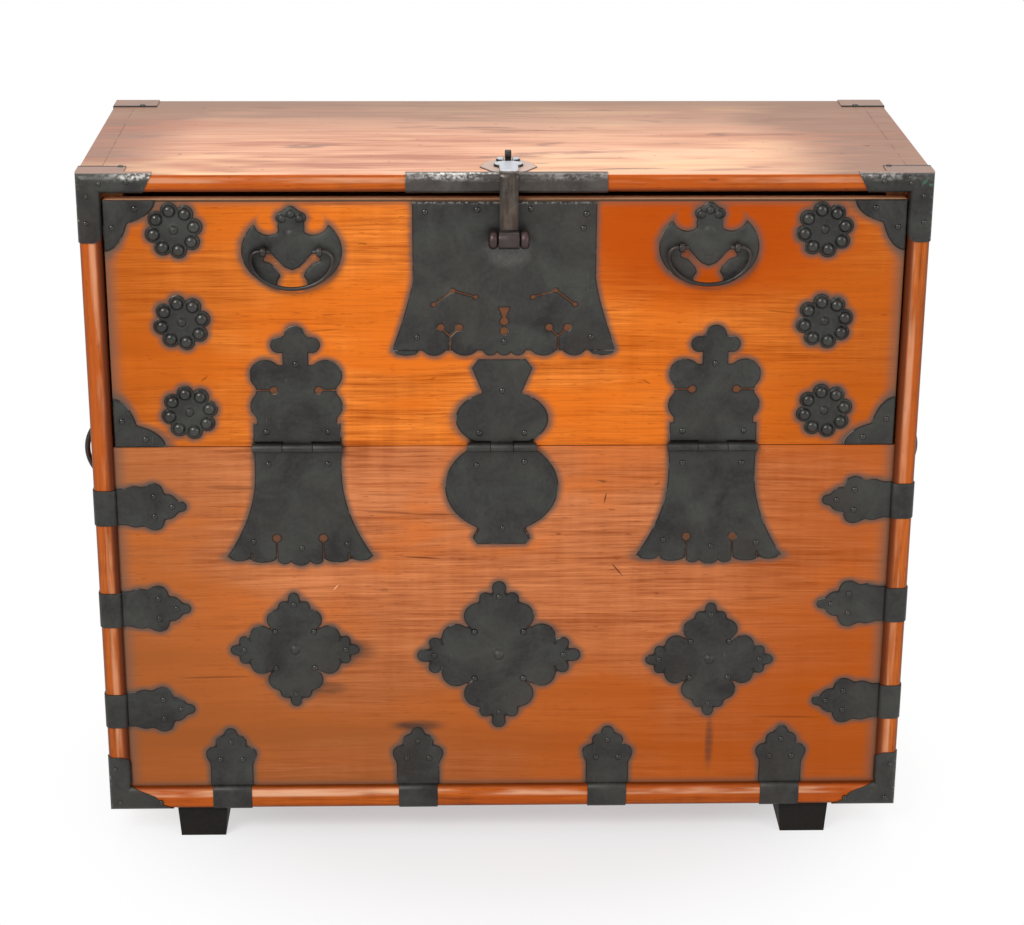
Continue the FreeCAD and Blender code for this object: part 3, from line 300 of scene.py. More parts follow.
def vase_lip(u, v, pierced=True):
    """A belly cut off at the hinge line, under a neck that widens to a cupped lip."""
    cz, rz = VASE_TOP * VASE_UP_SHARES[0], VASE_TOP * VASE_UP_SHARES[1]
    neck = [(-VASE_NECK, cz), (VASE_NECK, cz), (VASE_NECK, VASE_TOP * VASE_NECK_SHARE)]
    lip = [(VASE_RIM, VASE_TOP * VASE_RIM_SHARE), (VASE_LIP, VASE_TOP), (-VASE_LIP, VASE_TOP)]
    cup = outline(np.abs(u), v, neck + lip)
    return np.maximum(soft(oval(u, v, 0, cz, VASE_UP_HALF, rz), cup, MELT), LEAF_GAP - v)


def vase_belly(u, v, pierced=True):
    """A round belly cut off at the hinge line, on a spreading foot with a slanting nick at each side."""
    rx, cz, rz = VASE_LOW_OVAL
    u = np.abs(u)
    waist, base = VASE_FOOT[0][0], VASE_FOOT[-1]
    foot = [(-waist, -cz), (waist, -cz)] + [(a, -b) for a, b in VASE_FOOT] + [(-base[0], -base[1])]
    body = soft(oval(u, v, 0, -cz, rx, rz), outline(u, v, foot), MELT * 2)
    if pierced:
        body = cut(body, bar(u, v, *VASE_NICK, SLIT * 0.7))
    return np.maximum(body, v + LEAF_GAP)


OGEE_LONG, OGEE_SHORT = mm(56, 28)


def ogee_corner(u, v, pierced=True):
    """Two quarter ovals laid across each other in a corner."""
    body = soft(oval(u, v, 0, 0, OGEE_SHORT, OGEE_LONG), oval(u, v, 0, 0, OGEE_LONG, OGEE_SHORT), MELT)
    return np.maximum(body, np.maximum(-u, -v))


ROSETTE_LOBES, ROSETTE_R, BOSS_R, ROSETTE_TURN = 8, 22 * MM, 9.4 * MM, 11.0
DOME_R, DOME_H = mm(6.7, 5.2)
ROSETTE_STUD = mm(4.6, 2.6, 6.6)


def nearest_boss(u, v):
    """Distance to the nearest of eight points on a circle: the angle is folded into one eighth."""
    slice_turn = 2 * math.pi / ROSETTE_LOBES
    angle = np.arctan2(v, u) - math.radians(ROSETTE_TURN)
    angle = angle - slice_turn * np.round(angle / slice_turn)
    radius = np.hypot(u, v)
    return np.hypot(radius * np.cos(angle) - ROSETTE_R, radius * np.sin(angle))


def rosette(u, v, pierced=True):
    """Eight round lobes about a disc."""
    return joined(nearest_boss(u, v) - BOSS_R, np.hypot(u, v) - ROSETTE_R)


def rosette_relief(u, v, depth):
    """Half-round bosses on the lobes, and a stud in the middle."""
    return studded_relief(u, v, depth, *ROSETTE_STUD) + DOME_H * np.sqrt(dome(nearest_boss(u, v), DOME_R))


def rosette_shine(u, v):
    """The nail mark on the bosses: 1 on their crowns and 0 at their feet."""
    return {"nail": np.clip(1.6 - nearest_boss(u, v) / DOME_R * 1.6, 0, 1)}


BAT_HALF, BAT_RISE, BAT_LOW = mm(54, 43.5, 1.5)
SCOOP_SHARES = (0.444, 0.76, 0.385)
BAT_CROWN = mm(33.5, 13)
BAT_CROWN_LOBES = mm((0.0, 41, 7.2), (10, 35.5, 6.4), (8, 26, 6.4))
BAT_NECK = 14 * MM
BAT_GAP_SHARES = ((-0.14, -0.45), (0.0, -0.52), (0.14, -0.45), (0.25, -0.32), (0.34, -0.18), (0.41, -0.09),
                  (0.52, -0.10), (0.57, -0.28), (0.41, -0.36), (0.27, -0.55), (0.235, -0.68), (0.30, -0.80),
                  (0.33, -1.20), (-0.33, -1.20))
BAT_BEADS = mm((0.0, 40), (9.5, 35))
BEAD_R, BEAD_H = mm(4.6, 3.0)
BAT_SPINE = mm(-6, 16)
SPINE_R, SPINE_H = mm(6.5, 1.8)
BULGE, BULGE_REACH = mm(1.2, 9)


def bat(u, v, pierced=True):
    """A bat with its wings bent down: an oval with two scoops and a deep notch, and a lobed crown."""
    u = np.abs(u)
    a, b, r = SCOOP_SHARES
    gap = outline(u, v, [(BAT_HALF * c, BAT_RISE * d) for c, d in BAT_GAP_SHARES])
    scoop = disc(u, v, BAT_HALF * a, BAT_RISE * b, BAT_RISE * r)
    body = cut(oval(u, v, 0, -BAT_LOW, BAT_HALF, BAT_RISE), scoop, gap)
    crown = joined(disc(u, v, 0, BAT_CROWN[0], BAT_CROWN[1]), block(u, v, -1, BAT_NECK, 0, BAT_CROWN[0]))
    for a, b, r in BAT_CROWN_LOBES:
        crown = joined(crown, disc(u, v, a, b, r))
    return soft(body, crown, MELT)


def bat_relief(u, v, depth):
    """The body bulges a little, with three beads hammered up in the crown and a soft spine."""
    t = np.clip(depth / BULGE_REACH, 0, 1)
    height = sheet_relief(u, v, depth) + BULGE * t * (2 - t)
    for a, b in BAT_BEADS:
        height = height + BEAD_H * np.sqrt(dome(np.hypot(np.abs(u) - a, v - b), BEAD_R))
    return height + SPINE_H * dome(np.hypot(u, v - np.clip(v, *BAT_SPINE)), SPINE_R)


LOCK_HALF, LOCK_STRAIGHT, LOCK_FOOT_HALF = mm(99, 89, 122.5)
LOCK_SCALLOP, LOCK_CURVE_SHARE = 6 * MM, 0.40
LOCK_LOBES = mm((0.0, 9), (15, 9), (43, 18), (76.5, 16))
LOCK_TOE = ((92.5 * MM, 1.0), (97 * MM, 0.25), (107 * MM, 0.0), (117 * MM, 0.25), (122.5 * MM, 1.0))
LOCK_TREE = mm(59, 10, 32, 4.2)
LOCK_FORK = 22 * MM
LOCK_BROW = mm((77, 58), (56, 74), (31, 66.5))
LOCK_DOT_R = 2.6 * MM
LOCK_GOURD = mm(39, 28, 4.6)
LOCK_CUP = mm(6.3, 55)


def lock_bell(top):
    """A flared bell with a scalloped foot, pierced with two brows, two forked trees and a gourd. Measured
    up from its foot."""
    def field(u, v, pierced=True):
        side = np.abs(u)
        bell = flare(LOCK_HALF, top, LOCK_FOOT_HALF, LOCK_SCALLOP, LOCK_STRAIGHT, LOCK_CURVE_SHARE)
        body = outline(side, v, bell)
        for a, r in LOCK_LOBES:
            body = joined(body, disc(side, v, a, r, r))
        body = joined(body, outline(side, v, [(a, LOCK_SCALLOP * b) for a, b in LOCK_TOE]))
        if not pierced:
            return body
        x, spread, z, r = LOCK_TREE
        holes = [bar(side, v, (x, -r), (x, LOCK_FORK), SLIT * 0.7)]
        for arm in (-1, 1):
            holes += [disc(side, v, x + arm * spread, z, r),
                      bar(side, v, (x, LOCK_FORK), (x + arm * spread, z), SLIT)]
        holes += [disc(side, v, a, b, LOCK_DOT_R) for a, b in LOCK_BROW]
        holes += [bar(side, v, LOCK_BROW[0], LOCK_BROW[1], SLIT), bar(side, v, LOCK_BROW[1], LOCK_BROW[2], SLIT)]
        high, low, r = LOCK_GOURD
        holes += [disc(side, v, 0, high, r), disc(side, v, 0, low, r)]
        holes.append(outline(side, v, [(-LOCK_CUP[0], LOCK_CUP[1]), LOCK_CUP, (0, high)]))
        return cut(body, *holes)

    return field


STRAP_HALF, STRAP_LONG, STRAP_BODY_SHARE, STRAP_TIP_SHARE = 21.5 * MM, 78 * MM, 0.58, 0.28
STRAP_LOBE_SHARES = ((0.27, 0.72, 0.39), (0.535, 0.78, 0.53), (0.757, 0.30, 0.35))
FOOT_HALF, FOOT_LONG, FOOT_BODY_SHARE, FOOT_TIP_SHARE = 24.5 * MM, 74 * MM, 0.55, 0.29
FOOT_LOBE_SHARES = ((0.55, 0.78, 0.40), (0.77, 0.42, 0.29))


def leaf_tongue(half, length, body_share, tip_share, lobe_shares):
    """A straight tongue along v, with pairs of lobes and a round tip."""
    tip_r = half * tip_share

    def field(u, v, pierced=True):
        u = np.abs(u)
        body = joined(block(u, v, -1, half, 0, length * body_share), block(u, v, -1, tip_r, 0, length - tip_r),
                      block(u, v, -1, half * 0.5, 0, length * 0.72), disc(u, v, 0, length - tip_r, tip_r))
        for along, off, size in lobe_shares:
            body = soft(body, disc(u, v, half * off, length * along, half * size), FULL_MELT)
        return np.maximum(body, -v)

    return field


# Mesh building

class Form:
    """Corners and faces gathered for one piece, with marks at the corners that the materials read."""

    def __init__(self):
        self.points = []
        self.faces = []
        self.marks = []
        self.total = 0

    def add(self, points, faces, **marks):
        points = np.asarray(points, float).reshape(-1, 3)
        self.points.append(points)
        self.faces += [np.asarray(face) + self.total for face in faces]
        self.marks += [(name, self.total, np.broadcast_to(values, len(points))) for name, values in marks.items()]
        self.total += len(points)

    def grid(self, points, closed_rows=False, caps=False, **marks):
        """A sheet of four-sided faces over a grid of points. Rows may close on themselves and end in caps."""
        rows, columns = points.shape[:2]
        index = np.arange(rows * columns).reshape(rows, columns)
        if closed_rows:
            index = np.concatenate([index, index[:, :1]], axis=1)
        quads = np.stack([index[:-1, :-1], index[1:, :-1], index[1:, 1:], index[:-1, 1:]], -1).reshape(-1, 4)
        faces = [quads]
        if caps:
            faces += [np.arange(columns)[None, :], (rows * columns - 1 - np.arange(columns))[None, :]]
        self.add(points, faces, **marks)

    def piece(self, name, body, slot, material, nodes=()):
        """The finished mesh: it rides on a body, takes a material, and stands for its nodes. The slot is not used.
        """
        mesh = bpy.data.meshes.new(name)
        faces = [face for block_of_faces in self.faces for face in block_of_faces.tolist()]
        mesh.from_pydata(np.concatenate(self.points).tolist(), [], faces)
        for mark in sorted({mark for mark, _, _ in self.marks}):
            values = np.zeros(self.total, np.float32)
            for other, start, part in self.marks:
                if other == mark:
                    values[start:start + len(part)] = part
            mesh.attributes.new(mark, "FLOAT", "POINT").data.foreach_set("value", values)
        mesh.shade_smooth()
        mesh.set_sharp_from_angle(angle=CREASE)
        mesh.materials.append(material)
        made = bpy.data.objects.new(name, mesh)
        bpy.context.scene.collection.objects.link(made)
        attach(made, body)
        if nodes:
            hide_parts(*nodes)
        return made


class Place:
    """Where a plate's plane lies: an origin, two directions in the plane and the way it faces."""

    def __init__(self, origin, along, across):
        self.origin = np.asarray(origin, float)
        self.along = along
        self.across = across
        self.out = np.cross(along, across)

    def at(self, u, v, height):
        return (self.origin + u[..., None] * self.along + v[..., None] * self.across
                + height[..., None] * self.out)


def front(x, z, y=FACE_Y):
    """An upright plane that faces the viewer."""
    return Place((x, y, z), RIGHT, UP)


def cut_sheet(form, field, span, place, step=FINE_STEP, relief=sheet_relief, marks=None):
    """A plate as a fine grid. Squares whose middle lies inside the outline stay, and their outermost corners
    slide down the field's slope onto the outline. The back is flat and the rim joins both. Each corner is
    marked with its nearness to the edge, or with what marks gives."""
    u0, u1, v0, v1 = span
    us = np.arange(u0 - step, u1 + step * 2, step)
    vs = np.arange(v0 - step, v1 + step * 2, step)
    u, v = np.meshgrid(us, vs, indexing="ij")
    kept = field(u[:-1, :-1] + step / 2, v[:-1, :-1] + step / 2) < 0
    padded = np.pad(kept, 1)
    around = padded[:-1, :-1].astype(int) + padded[1:, :-1] + padded[:-1, 1:] + padded[1:, 1:]
    rim = (around > 0) & (around < 4)
    a, b = u[rim], v[rim]
    start_a, start_b = a.copy(), b.copy()
    tiny, reach = step * PROBE_SHARE, step * SLIDE_SHARE
    for _ in range(SLIDES):
        value = field(a, b)
        slope_a = (field(a + tiny, b) - field(a - tiny, b)) / (tiny * 2)
        slope_b = (field(a, b + tiny) - field(a, b - tiny)) / (tiny * 2)
        steep = np.maximum(slope_a ** 2 + slope_b ** 2, LEAST_STEEP)
        a = start_a + np.clip(a - value * slope_a / steep - start_a, -reach, reach)
        b = start_b + np.clip(b - value * slope_b / steep - start_b, -reach, reach)
    u[rim], v[rim] = a, b
    used = around > 0
    number = np.cumsum(used).reshape(used.shape) - 1
    count = int(used.sum())
    depth = np.where(rim, 0.0, np.maximum(-field(u, v), 0))
    height = relief(u, v, depth)
    top = place.at(u[used], v[used], height[used])
    bottom = place.at(u[used], v[used], np.zeros(count))
    i, j = np.nonzero(kept)
    ring = [number[i, j], number[i + 1, j], number[i + 1, j + 1], number[i, j + 1]]
    faces = [np.stack(ring, -1), np.stack(ring[::-1], -1) + count]
    sides = (((0, -1), 0, 1), ((1, 0), 1, 2), ((0, 1), 2, 3), ((-1, 0), 3, 0))
    for (di, dj), first, second in sides:
        bare = ~padded[i + 1 + di, j + 1 + dj]
        p, q = ring[first][bare], ring[second][bare]
        faces.append(np.stack([q, p, p + count, q + count], -1))
    found = {"edge": 1 - np.clip(depth[used] / EDGE_LINE, 0, 1)}
    if marks:
        found.update(marks(u[used], v[used]))
    form.add(np.concatenate([top, bottom]), faces, **{name: np.tile(values, 2) for name, values in found.items()})


def headings(path):
    """The unit direction at each point of a path."""
    along = np.gradient(path, axis=0)
    return along / np.linalg.norm(along, axis=1)[:, None]


def tube(form, path, radius, across):
    """A rod: rings of points stand square to the path, turned from a direction that it never runs along."""
    path = np.asarray(path, float)
    radius = np.broadcast_to(radius, len(path))
    along = headings(path)
    side = np.cross(along, across)
    side /= np.linalg.norm(side, axis=1)[:, None]
    rise = np.cross(side, along)
    turn = np.linspace(0, 2 * math.pi, ROD_SIDES, endpoint=False)
    rings = (path[:, None] + radius[:, None, None] * (np.cos(turn)[None, :, None] * side[:, None]
                                                     + np.sin(turn)[None, :, None] * rise[:, None]))
    form.grid(rings, closed_rows=True, caps=True)


def rounded_rod(form, path, radius, across):
    """A tube whose two ends close in half rounds: the radius falls as the root of one less the square."""
    path = np.asarray(path, float)
    ease = np.sin(np.linspace(0, math.pi / 2, 6))[:-1]
    head = path[0] - (path[1] - path[0]) / np.linalg.norm(path[1] - path[0]) * radius
    tail = path[-1] + (path[-1] - path[-2]) / np.linalg.norm(path[-1] - path[-2]) * radius
    first = head + (path[0] - head) * (1 - np.sqrt(1 - ease[:, None] ** 2))
    last = tail + (path[-1] - tail) * (1 - np.sqrt(1 - ease[::-1, None] ** 2))
    shrink = np.maximum(ease, 0.06)
    radii = np.concatenate([radius * shrink, np.full(len(path), radius), radius * shrink[::-1]])
    tube(form, np.concatenate([first, path, last]), radii, across)


def turned(form, middle, axis, profile, sides=RING_SIDES):
    """A lathe shape: each point of the profile is a distance along the axis and a radius about it. A profile
    that ends where it began makes a ring, and any other is closed by a cap at each end."""
    axis = np.asarray(axis, float)
    side = np.cross(axis, UP if abs(axis[2]) < 0.5 else RIGHT)
    side /= np.linalg.norm(side)
    rise = np.cross(side, axis)
    profile = np.asarray(profile, float)
    turn = np.linspace(0, 2 * math.pi, sides, endpoint=False)
    spokes = np.cos(turn)[None, :, None] * side + np.sin(turn)[None, :, None] * rise
    rings = middle + profile[:, 0, None, None] * axis + profile[:, 1, None, None] * spokes
    form.grid(rings, closed_rows=True, caps=not np.allclose(profile[0], profile[-1]))


def drum_profile(half, radius, edge, bore=None):
    """A short drum with rounded edges. With a bore it is a ring: out along the rim and back inside."""
    turn = np.linspace(0, math.pi / 2, 5)
    right = [(half - edge + edge * math.sin(t), radius - edge + edge * math.cos(t)) for t in turn]
    left = [(-a, r) for a, r in reversed(right)]
    if bore is None:
        return left + right
    inner = [(half, bore + edge / 2), (half - edge, bore), (-half + edge, bore), (-half, bore + edge / 2)]
    return left + right + inner + left[:1]


def nails(form, place, spots, radius=NAIL_R):
    """Domed nail heads: radius times the sine and height times the cosine of a quarter turn."""
    angle = np.linspace(math.pi / 2, 0.12, NAIL_RINGS)
    turn = np.linspace(0, 2 * math.pi, NAIL_SIDES, endpoint=False)
    for k, (u, v) in enumerate(spots):
        lean = 1 + 0.10 * math.sin(k * 2.4)
        a = u + radius * lean * np.sin(angle)[:, None] * np.cos(turn)
        b = v + radius * np.sin(angle)[:, None] * np.sin(turn)
        h = SHEET + NAIL_H * np.cos(angle)[:, None] + 0 * turn
        skirt = (a[:1], b[:1], np.full((1, NAIL_SIDES), SHEET * 0.3))
        rings = place.at(*[np.concatenate(pair) for pair in zip(skirt, (a, b, h))])
        form.grid(rings, closed_rows=True, caps=True, nail=1.0)


# Shader sockets that can be added, multiplied and so on

class Value:
    """One output socket of a node tree. Arithmetic on it adds Math nodes."""

    def __init__(self, paint, socket):
        self.paint = paint
        self.socket = socket

    def _math(self, operation, a, b, clamp=False):
        return self.paint.node("ShaderNodeMath", {"operation": operation, "use_clamp": clamp}, {0: a, 1: b})

    def __add__(self, other):
        return self._math("ADD", self, other)

    __radd__ = __add__

    def __sub__(self, other):
        return self._math("SUBTRACT", self, other)

    def __rsub__(self, other):
        return self._math("SUBTRACT", other, self)

    def __mul__(self, other):
        return self._math("MULTIPLY", self, other)

    __rmul__ = __mul__

    def __abs__(self):
        return self._math("ABSOLUTE", self, 0.0)

    def clamp(self):
        return self._math("ADD", self, 0.0, True)

    def near(self, place, start, stop):
        """0 and 1 at two offsets in mm from a place."""
        return self.ramp(place + start * MM, place + stop * MM)

    def swing(self, gain):
        """How far a noise strays from its middle, times the gain."""
        return (self - 0.5) * gain

    def ramp(self, low, high):
        """0 at low, 1 at high, eased between them. High may be the lesser."""
        return self.paint.node("ShaderNodeMapRange", {"interpolation_type": "SMOOTHSTEP"},
                               {0: self, 1: low, 2: high, 3: 0.0, 4: 1.0})


class Paint:
    """A material's node tree with a Principled shader."""

    def __init__(self, name):
        self.material = bpy.data.materials.new(name)
        self.material.use_nodes = True
        self.tree = self.material.node_tree
        self.shader = self.tree.nodes["Principled BSDF"]
        self.output = self.tree.nodes["Material Output"]
        self.colour = None
        self.place = self.node("ShaderNodeTexCoord", {}, {}, "Object")
        self.x, self.y, self.z = (self.node("ShaderNodeSeparateXYZ", {}, {0: self.place}, axis)
                                  for axis in range(3))

    def node(self, kind, settings, values, out=0):
        made = self.tree.nodes.new(kind)
        for name, value in settings.items():
            setattr(made, name, value)
        for name, value in values.items():
            self.feed(made.inputs[name], value)
        return Value(self, made.outputs[out])

    def feed(self, socket, value):
        if isinstance(value, Value):
            self.tree.links.new(value.socket, socket)
        elif isinstance(value, (tuple, list)) and len(value) == 3 and socket.type == "RGBA":
            socket.default_value = (*value, 1.0)
        else:
            socket.default_value = value

    def stretched(self, scale, place=None):
        return self.node("ShaderNodeVectorMath", {"operation": "MULTIPLY"}, {0: place or self.place, 1: scale})

    def noise(self, vector, scale, detail=2.0, rough=0.5, warp=0.0):
        return self.node("ShaderNodeTexNoise", {}, {"Vector": vector, "Scale": scale, "Detail": detail,
                                                    "Roughness": rough, "Distortion": warp})

    def streaks(self, scale, detail=2.0, rough=0.5, warp=0.0, place=None):
        """Noise with a scale of its own along each axis."""
        return self.noise(self.stretched(scale, place), 1.0, detail, rough, warp)

    def mix(self, factor, a, b):
        return self.node("ShaderNodeMix", {"data_type": "RGBA"}, {0: factor, 6: a, 7: b}, 2)

    def layer(self, mask, tone):
        """Lays a tone over the colour so far."""
        self.colour = self.mix(mask, self.colour, tone)

    def mark(self, name):
        """What the corners are marked with; 0 where a mesh has no such mark."""
        return self.node("ShaderNodeAttribute", {"attribute_name": name}, {}, "Fac")

    def spot(self, x, z, half_x, half_z, soft=0.6, turn=0.0):
        """1 inside an oval on the front, turned from level by some degrees, easing to 0 at its edge."""
        c, s = math.cos(math.radians(turn)), math.sin(math.radians(turn))
        a = ((self.x - x) * c + (self.z - z) * s) * (1 / half_x)
        b = ((self.z - z) * c - (self.x - x) * s) * (1 / half_z)
        return (a * a + b * b).ramp(1.0, 1.0 - soft)

    def line(self, value, at, half):
        """1 where a value is within half of the given one."""
        return abs(value - at).ramp(half, half * 0.4)

    def bump(self, height, strength, distance):
        return self.node("ShaderNodeBump", {}, {"Height": height, "Strength": strength, "Distance": distance})

    def set(self, **values):
        for name, value in values.items():
            self.feed(self.shader.inputs[name.replace("_", " ")], value)
        return self.material


def srgb(r, g, b):
    """Linear colour from the 0 to 255 values that a screen shows."""
    return tuple((c / 255 / 12.92) if c <= 10 else ((c / 255 + 0.055) / 1.055) ** 2.4 for c in (r, g, b))


def shade(tone, share):
    """A darker or paler colour: each part times the share."""
    return tuple(c * share for c in tone)


def along(grain, run, cross):
    """Scales for a noise drawn out along one of the axes."""
    return tuple(run if axis == grain else cross for axis in range(3))


INK = (0.020, 0.014, 0.011)
STAIN_TONE = srgb(92, 78, 68)
# Painted shade in the corners where the frame meets the boards
CORNER_SHADE_TONE = srgb(112, 84, 68)
UNDER_TONE = srgb(84, 60, 46)
SMEAR_TONE = srgb(78, 54, 42)
# Marks for the stains, for painted shade along the frame and for painted shadow behind the hinge rolls
STAIN_AND_SHADE_MARKS = ("stain", "grime", "smear", "under", "gap")
# Scratches on the front in mm, as x, z, half width, half height, then the turn and the depth
SCRATCHES = ((-94, 352, 26, 1.1, -3, 0.8), (127, 336, 12, 1.1, -50, 0.8), (121, 336, 5, 0.8, 10, 0.5),
             (112, 423, 8, 1.2, 80, 0.7), (-245, 412.5, 105, 0.9, -2, 0.5), (-300, 437, 40, 4, -2, 0.35),
             (-85, 404.5, 45, 0.8, -1, 0.5), (-130, 428, 40, 1.5, -1, 0.3), (-130, 407, 35, 1.8, -3, 0.35),
             (60, 380, 4, 2, 0, 0.4), (170, 440, 5, 2, 20, 0.35), (290, 300, 40, 1.4, 2, 0.3),
             (-330, 205, 50, 1.6, 1, 0.4), (330, 150, 45, 1.5, -1, 0.35), (-200, 620, 24, 1.2, 4, 0.4),
             (300, 640, 20, 1.2, -5, 0.4), (-330, 565, 6, 1.3, 40, 0.5), (155, 560, 6, 1.2, -30, 0.5))
PALE_SCRATCH = (-191, 316, 5, 0.8, 48, 0.8)
RED_PATCH = (0.20, 0.735, 0.22, 0.11, 0.9)


def fine_wood(paint, light, dark, glow, grain, pores):
    """Oiled wood: soft bands and fine fibres along the grain, broad patches of a warmer tone, short dark pores
    and a few dents. Gives the height and the bands."""
    def streaks(run, cross, *look, place=None):
        return paint.streaks(along(grain, run, cross), *look, place=place)

    bend = streaks(1.5, 5.0, 1.0)
    place = paint.node("ShaderNodeVectorMath", {"operation": "MULTIPLY_ADD"},
                       {0: bend, 1: along(grain, 0.0, 0.030), 2: paint.place})
    band = streaks(1.6, 26.0, 3.0, 0.6, place=place)
    line = streaks(4.5, 190.0, 3.0, 0.6, place=place)
    hair = streaks(15.0, 520.0, 2.0, 0.6, place=place)
    patch = streaks(3.6, 9.5, 3.0, 0.55, 0.4)
    cross = streaks(70.0, 9.0, 2.0)
    pore = streaks(70.0, 560.0, 1.0).ramp(0.66, 0.76)
    nick = streaks(24.0, 95.0, 2.0, 0.5, 0.8).ramp(0.72, 0.78)
    tone = band.swing(1.3) + line.swing(1.3) + hair.swing(1.5) + cross.swing(0.4) + 0.58
    paint.colour = paint.mix(tone.clamp(), dark, light)
    paint.layer(patch.ramp(0.44, 0.60) * (tone * 0.5 + 0.35).clamp(), glow)
    paint.layer(line.ramp(0.58, 0.66) * band.ramp(0.44, 0.60) * 0.30, dark)
    paint.layer(pore * pores, shade(dark, 0.35))
    paint.layer(nick * 0.55, shade(dark, 0.22))
    return line * 0.5 + hair * 0.25 + band * 0.3 - pore * 0.6 - nick, band


def stains_and_shade(paint, front):
    """The grey-black halo round the irons, the dull wood that shows through their holes, the smears, painted
    shade along the frame's edges and painted black shadow behind the hinge rolls.
    """
    stain, grime, smear, under, gap = (paint.mark(name) * front for name in STAIN_AND_SHADE_MARKS)
    ragged = paint.streaks((60.0, 150.0, 150.0), 3.0, 0.6)
    broken = paint.streaks((24.0, 260.0, 260.0), 3.0, 0.6)
    # Painted shade along the frame's edges
    paint.layer(grime, CORNER_SHADE_TONE)
    paint.layer((stain + ragged.swing(0.8) * stain).ramp(0.05, 0.95) * 0.85, STAIN_TONE)
    paint.layer((smear + broken.swing(1.6) * smear).clamp(), SMEAR_TONE)
    paint.layer(under * 0.9, UNDER_TONE)
    # Painted black shadow behind the hinge rolls
    paint.layer(gap, INK)


def board_wood(name, light, dark, glow, left_glow, right_glow):
    """The door and the panel: the tone deepens toward the ends and, on the panel, toward the bottom. The
    upper edge of the door is bare wood, painted paler as painted light against the top rail's shade, behind
    a dark line."""
    paint = Paint(name)
    height, band = fine_wood(paint, light, dark, glow, 0, 0.35)
    front = paint.y.near(FACE_Y, 9, 6)
    low_glow = paint.mix(paint.x.ramp(-0.25, 0.30), left_glow, right_glow)
    paint.layer(abs(paint.x + 0.02).ramp(0.16, 0.42) * (band * 1.3 + 0.15).clamp() * 0.75, low_glow)
    paint.layer(paint.z.ramp(0.35, 0.12) * (band * 1.2 + 0.2).clamp() * 0.9, low_glow)
    paint.layer(paint.spot(*RED_PATCH) * front * 0.85, srgb(168, 64, 0))
    for *place, turn, depth in SCRATCHES:
        paint.layer(paint.spot(*mm(*place), 0.8, turn) * depth, shade(dark, 0.25))
    *place, turn, depth = PALE_SCRATCH
    paint.layer(paint.spot(*mm(*place), 0.6, turn) * depth, srgb(232, 172, 132))
    stains_and_shade(paint, front)
    # Painted light: the bare upper edge of the door is made paler to make up for the top rail's shade
    bare = paint.mix((height + 0.1).clamp(), srgb(226, 160, 112), srgb(255, 206, 160))
    paint.layer(paint.z.near(DOOR_HI.z, -1.3, -0.5), bare)
    paint.layer(paint.y.near(FACE_Y, 3.2, 1.8) * paint.z.near(DOOR_HI.z, -2.2, -1.2) * 0.9, INK)
    return paint.set(Base_Color=paint.colour, Roughness=(band.swing(0.25) + 0.46).clamp(),
                     Normal=paint.bump(height, 0.16, 0.0006), Specular_IOR_Level=0.06)


TOP_SHEEN = 1.6 * MM
TOP_IRON_DEEP = 35 * MM


def glare(paint):
    """The waxed top as the window's light makes it: pale peach, with grey-brown streaks that gather toward
    the back and the ends, a few dark marks, and the finger joints' fine lines."""
    streak = paint.streaks((1.7, 15.0, 1.0), 4.0, 0.6, 0.5)
    fine = paint.streaks((6.0, 120.0, 1.0), 3.0, 0.6)
    cloud = paint.streaks((3.0, 9.0, 1.0), 3.0, 0.55).ramp(0.52, 0.66)
    dark = paint.streaks((7.0, 36.0, 1.0), 3.0, 0.6, 0.4).ramp(0.58, 0.72)
    tick = paint.streaks((90.0, 150.0, 1.0), 2.0, 0.5, 0.6).ramp(0.70, 0.77)
    back = paint.y.ramp(EDGE_Y + DEPTH * 0.30, EDGE_Y + DEPTH * 0.95)
    rim = paint.y.ramp(EDGE_Y + DEPTH * 0.76, EDGE_Y + DEPTH * 0.98)
    ends = paint.x.ramp(-0.33, -0.45) + paint.x.ramp(0.24, 0.44)
    dull = ((streak.swing(2.2) + fine.swing(1.4) + 0.66) * (back * 1.1 + ends * 1.6)).clamp()
    finger = DEPTH / 9
    joint_y = paint.node("ShaderNodeMath", {"operation": "PINGPONG"}, {0: paint.y - EDGE_Y, 1: finger})
    steps = paint.line(joint_y, finger, 0.9 * MM) + paint.line(joint_y, 0.0, 0.9 * MM)
    steps = steps * abs(paint.x).near(INNER_X, -1, 0)
    seam = paint.line(abs(paint.x), INNER_X, 0.8 * MM)
    ragged = paint.noise(paint.place, 30.0).ramp(0.35, 0.60)
    colour = paint.mix((streak.swing(3.0) + fine.swing(1.6) + 0.5).clamp(), srgb(176, 116, 92), srgb(236, 182, 148))
    for mask, tone in ((cloud * 0.6, srgb(244, 196, 152)), (dull * 0.85, srgb(128, 96, 82)),
                       (rim * 0.85, srgb(138, 108, 90)), (dark * 0.75, srgb(134, 98, 84)),
                       (tick * 0.6, srgb(86, 58, 48)), ((steps + seam).clamp() * ragged * 0.7, srgb(78, 52, 42))):
        colour = paint.mix(mask, colour, tone)
    return colour


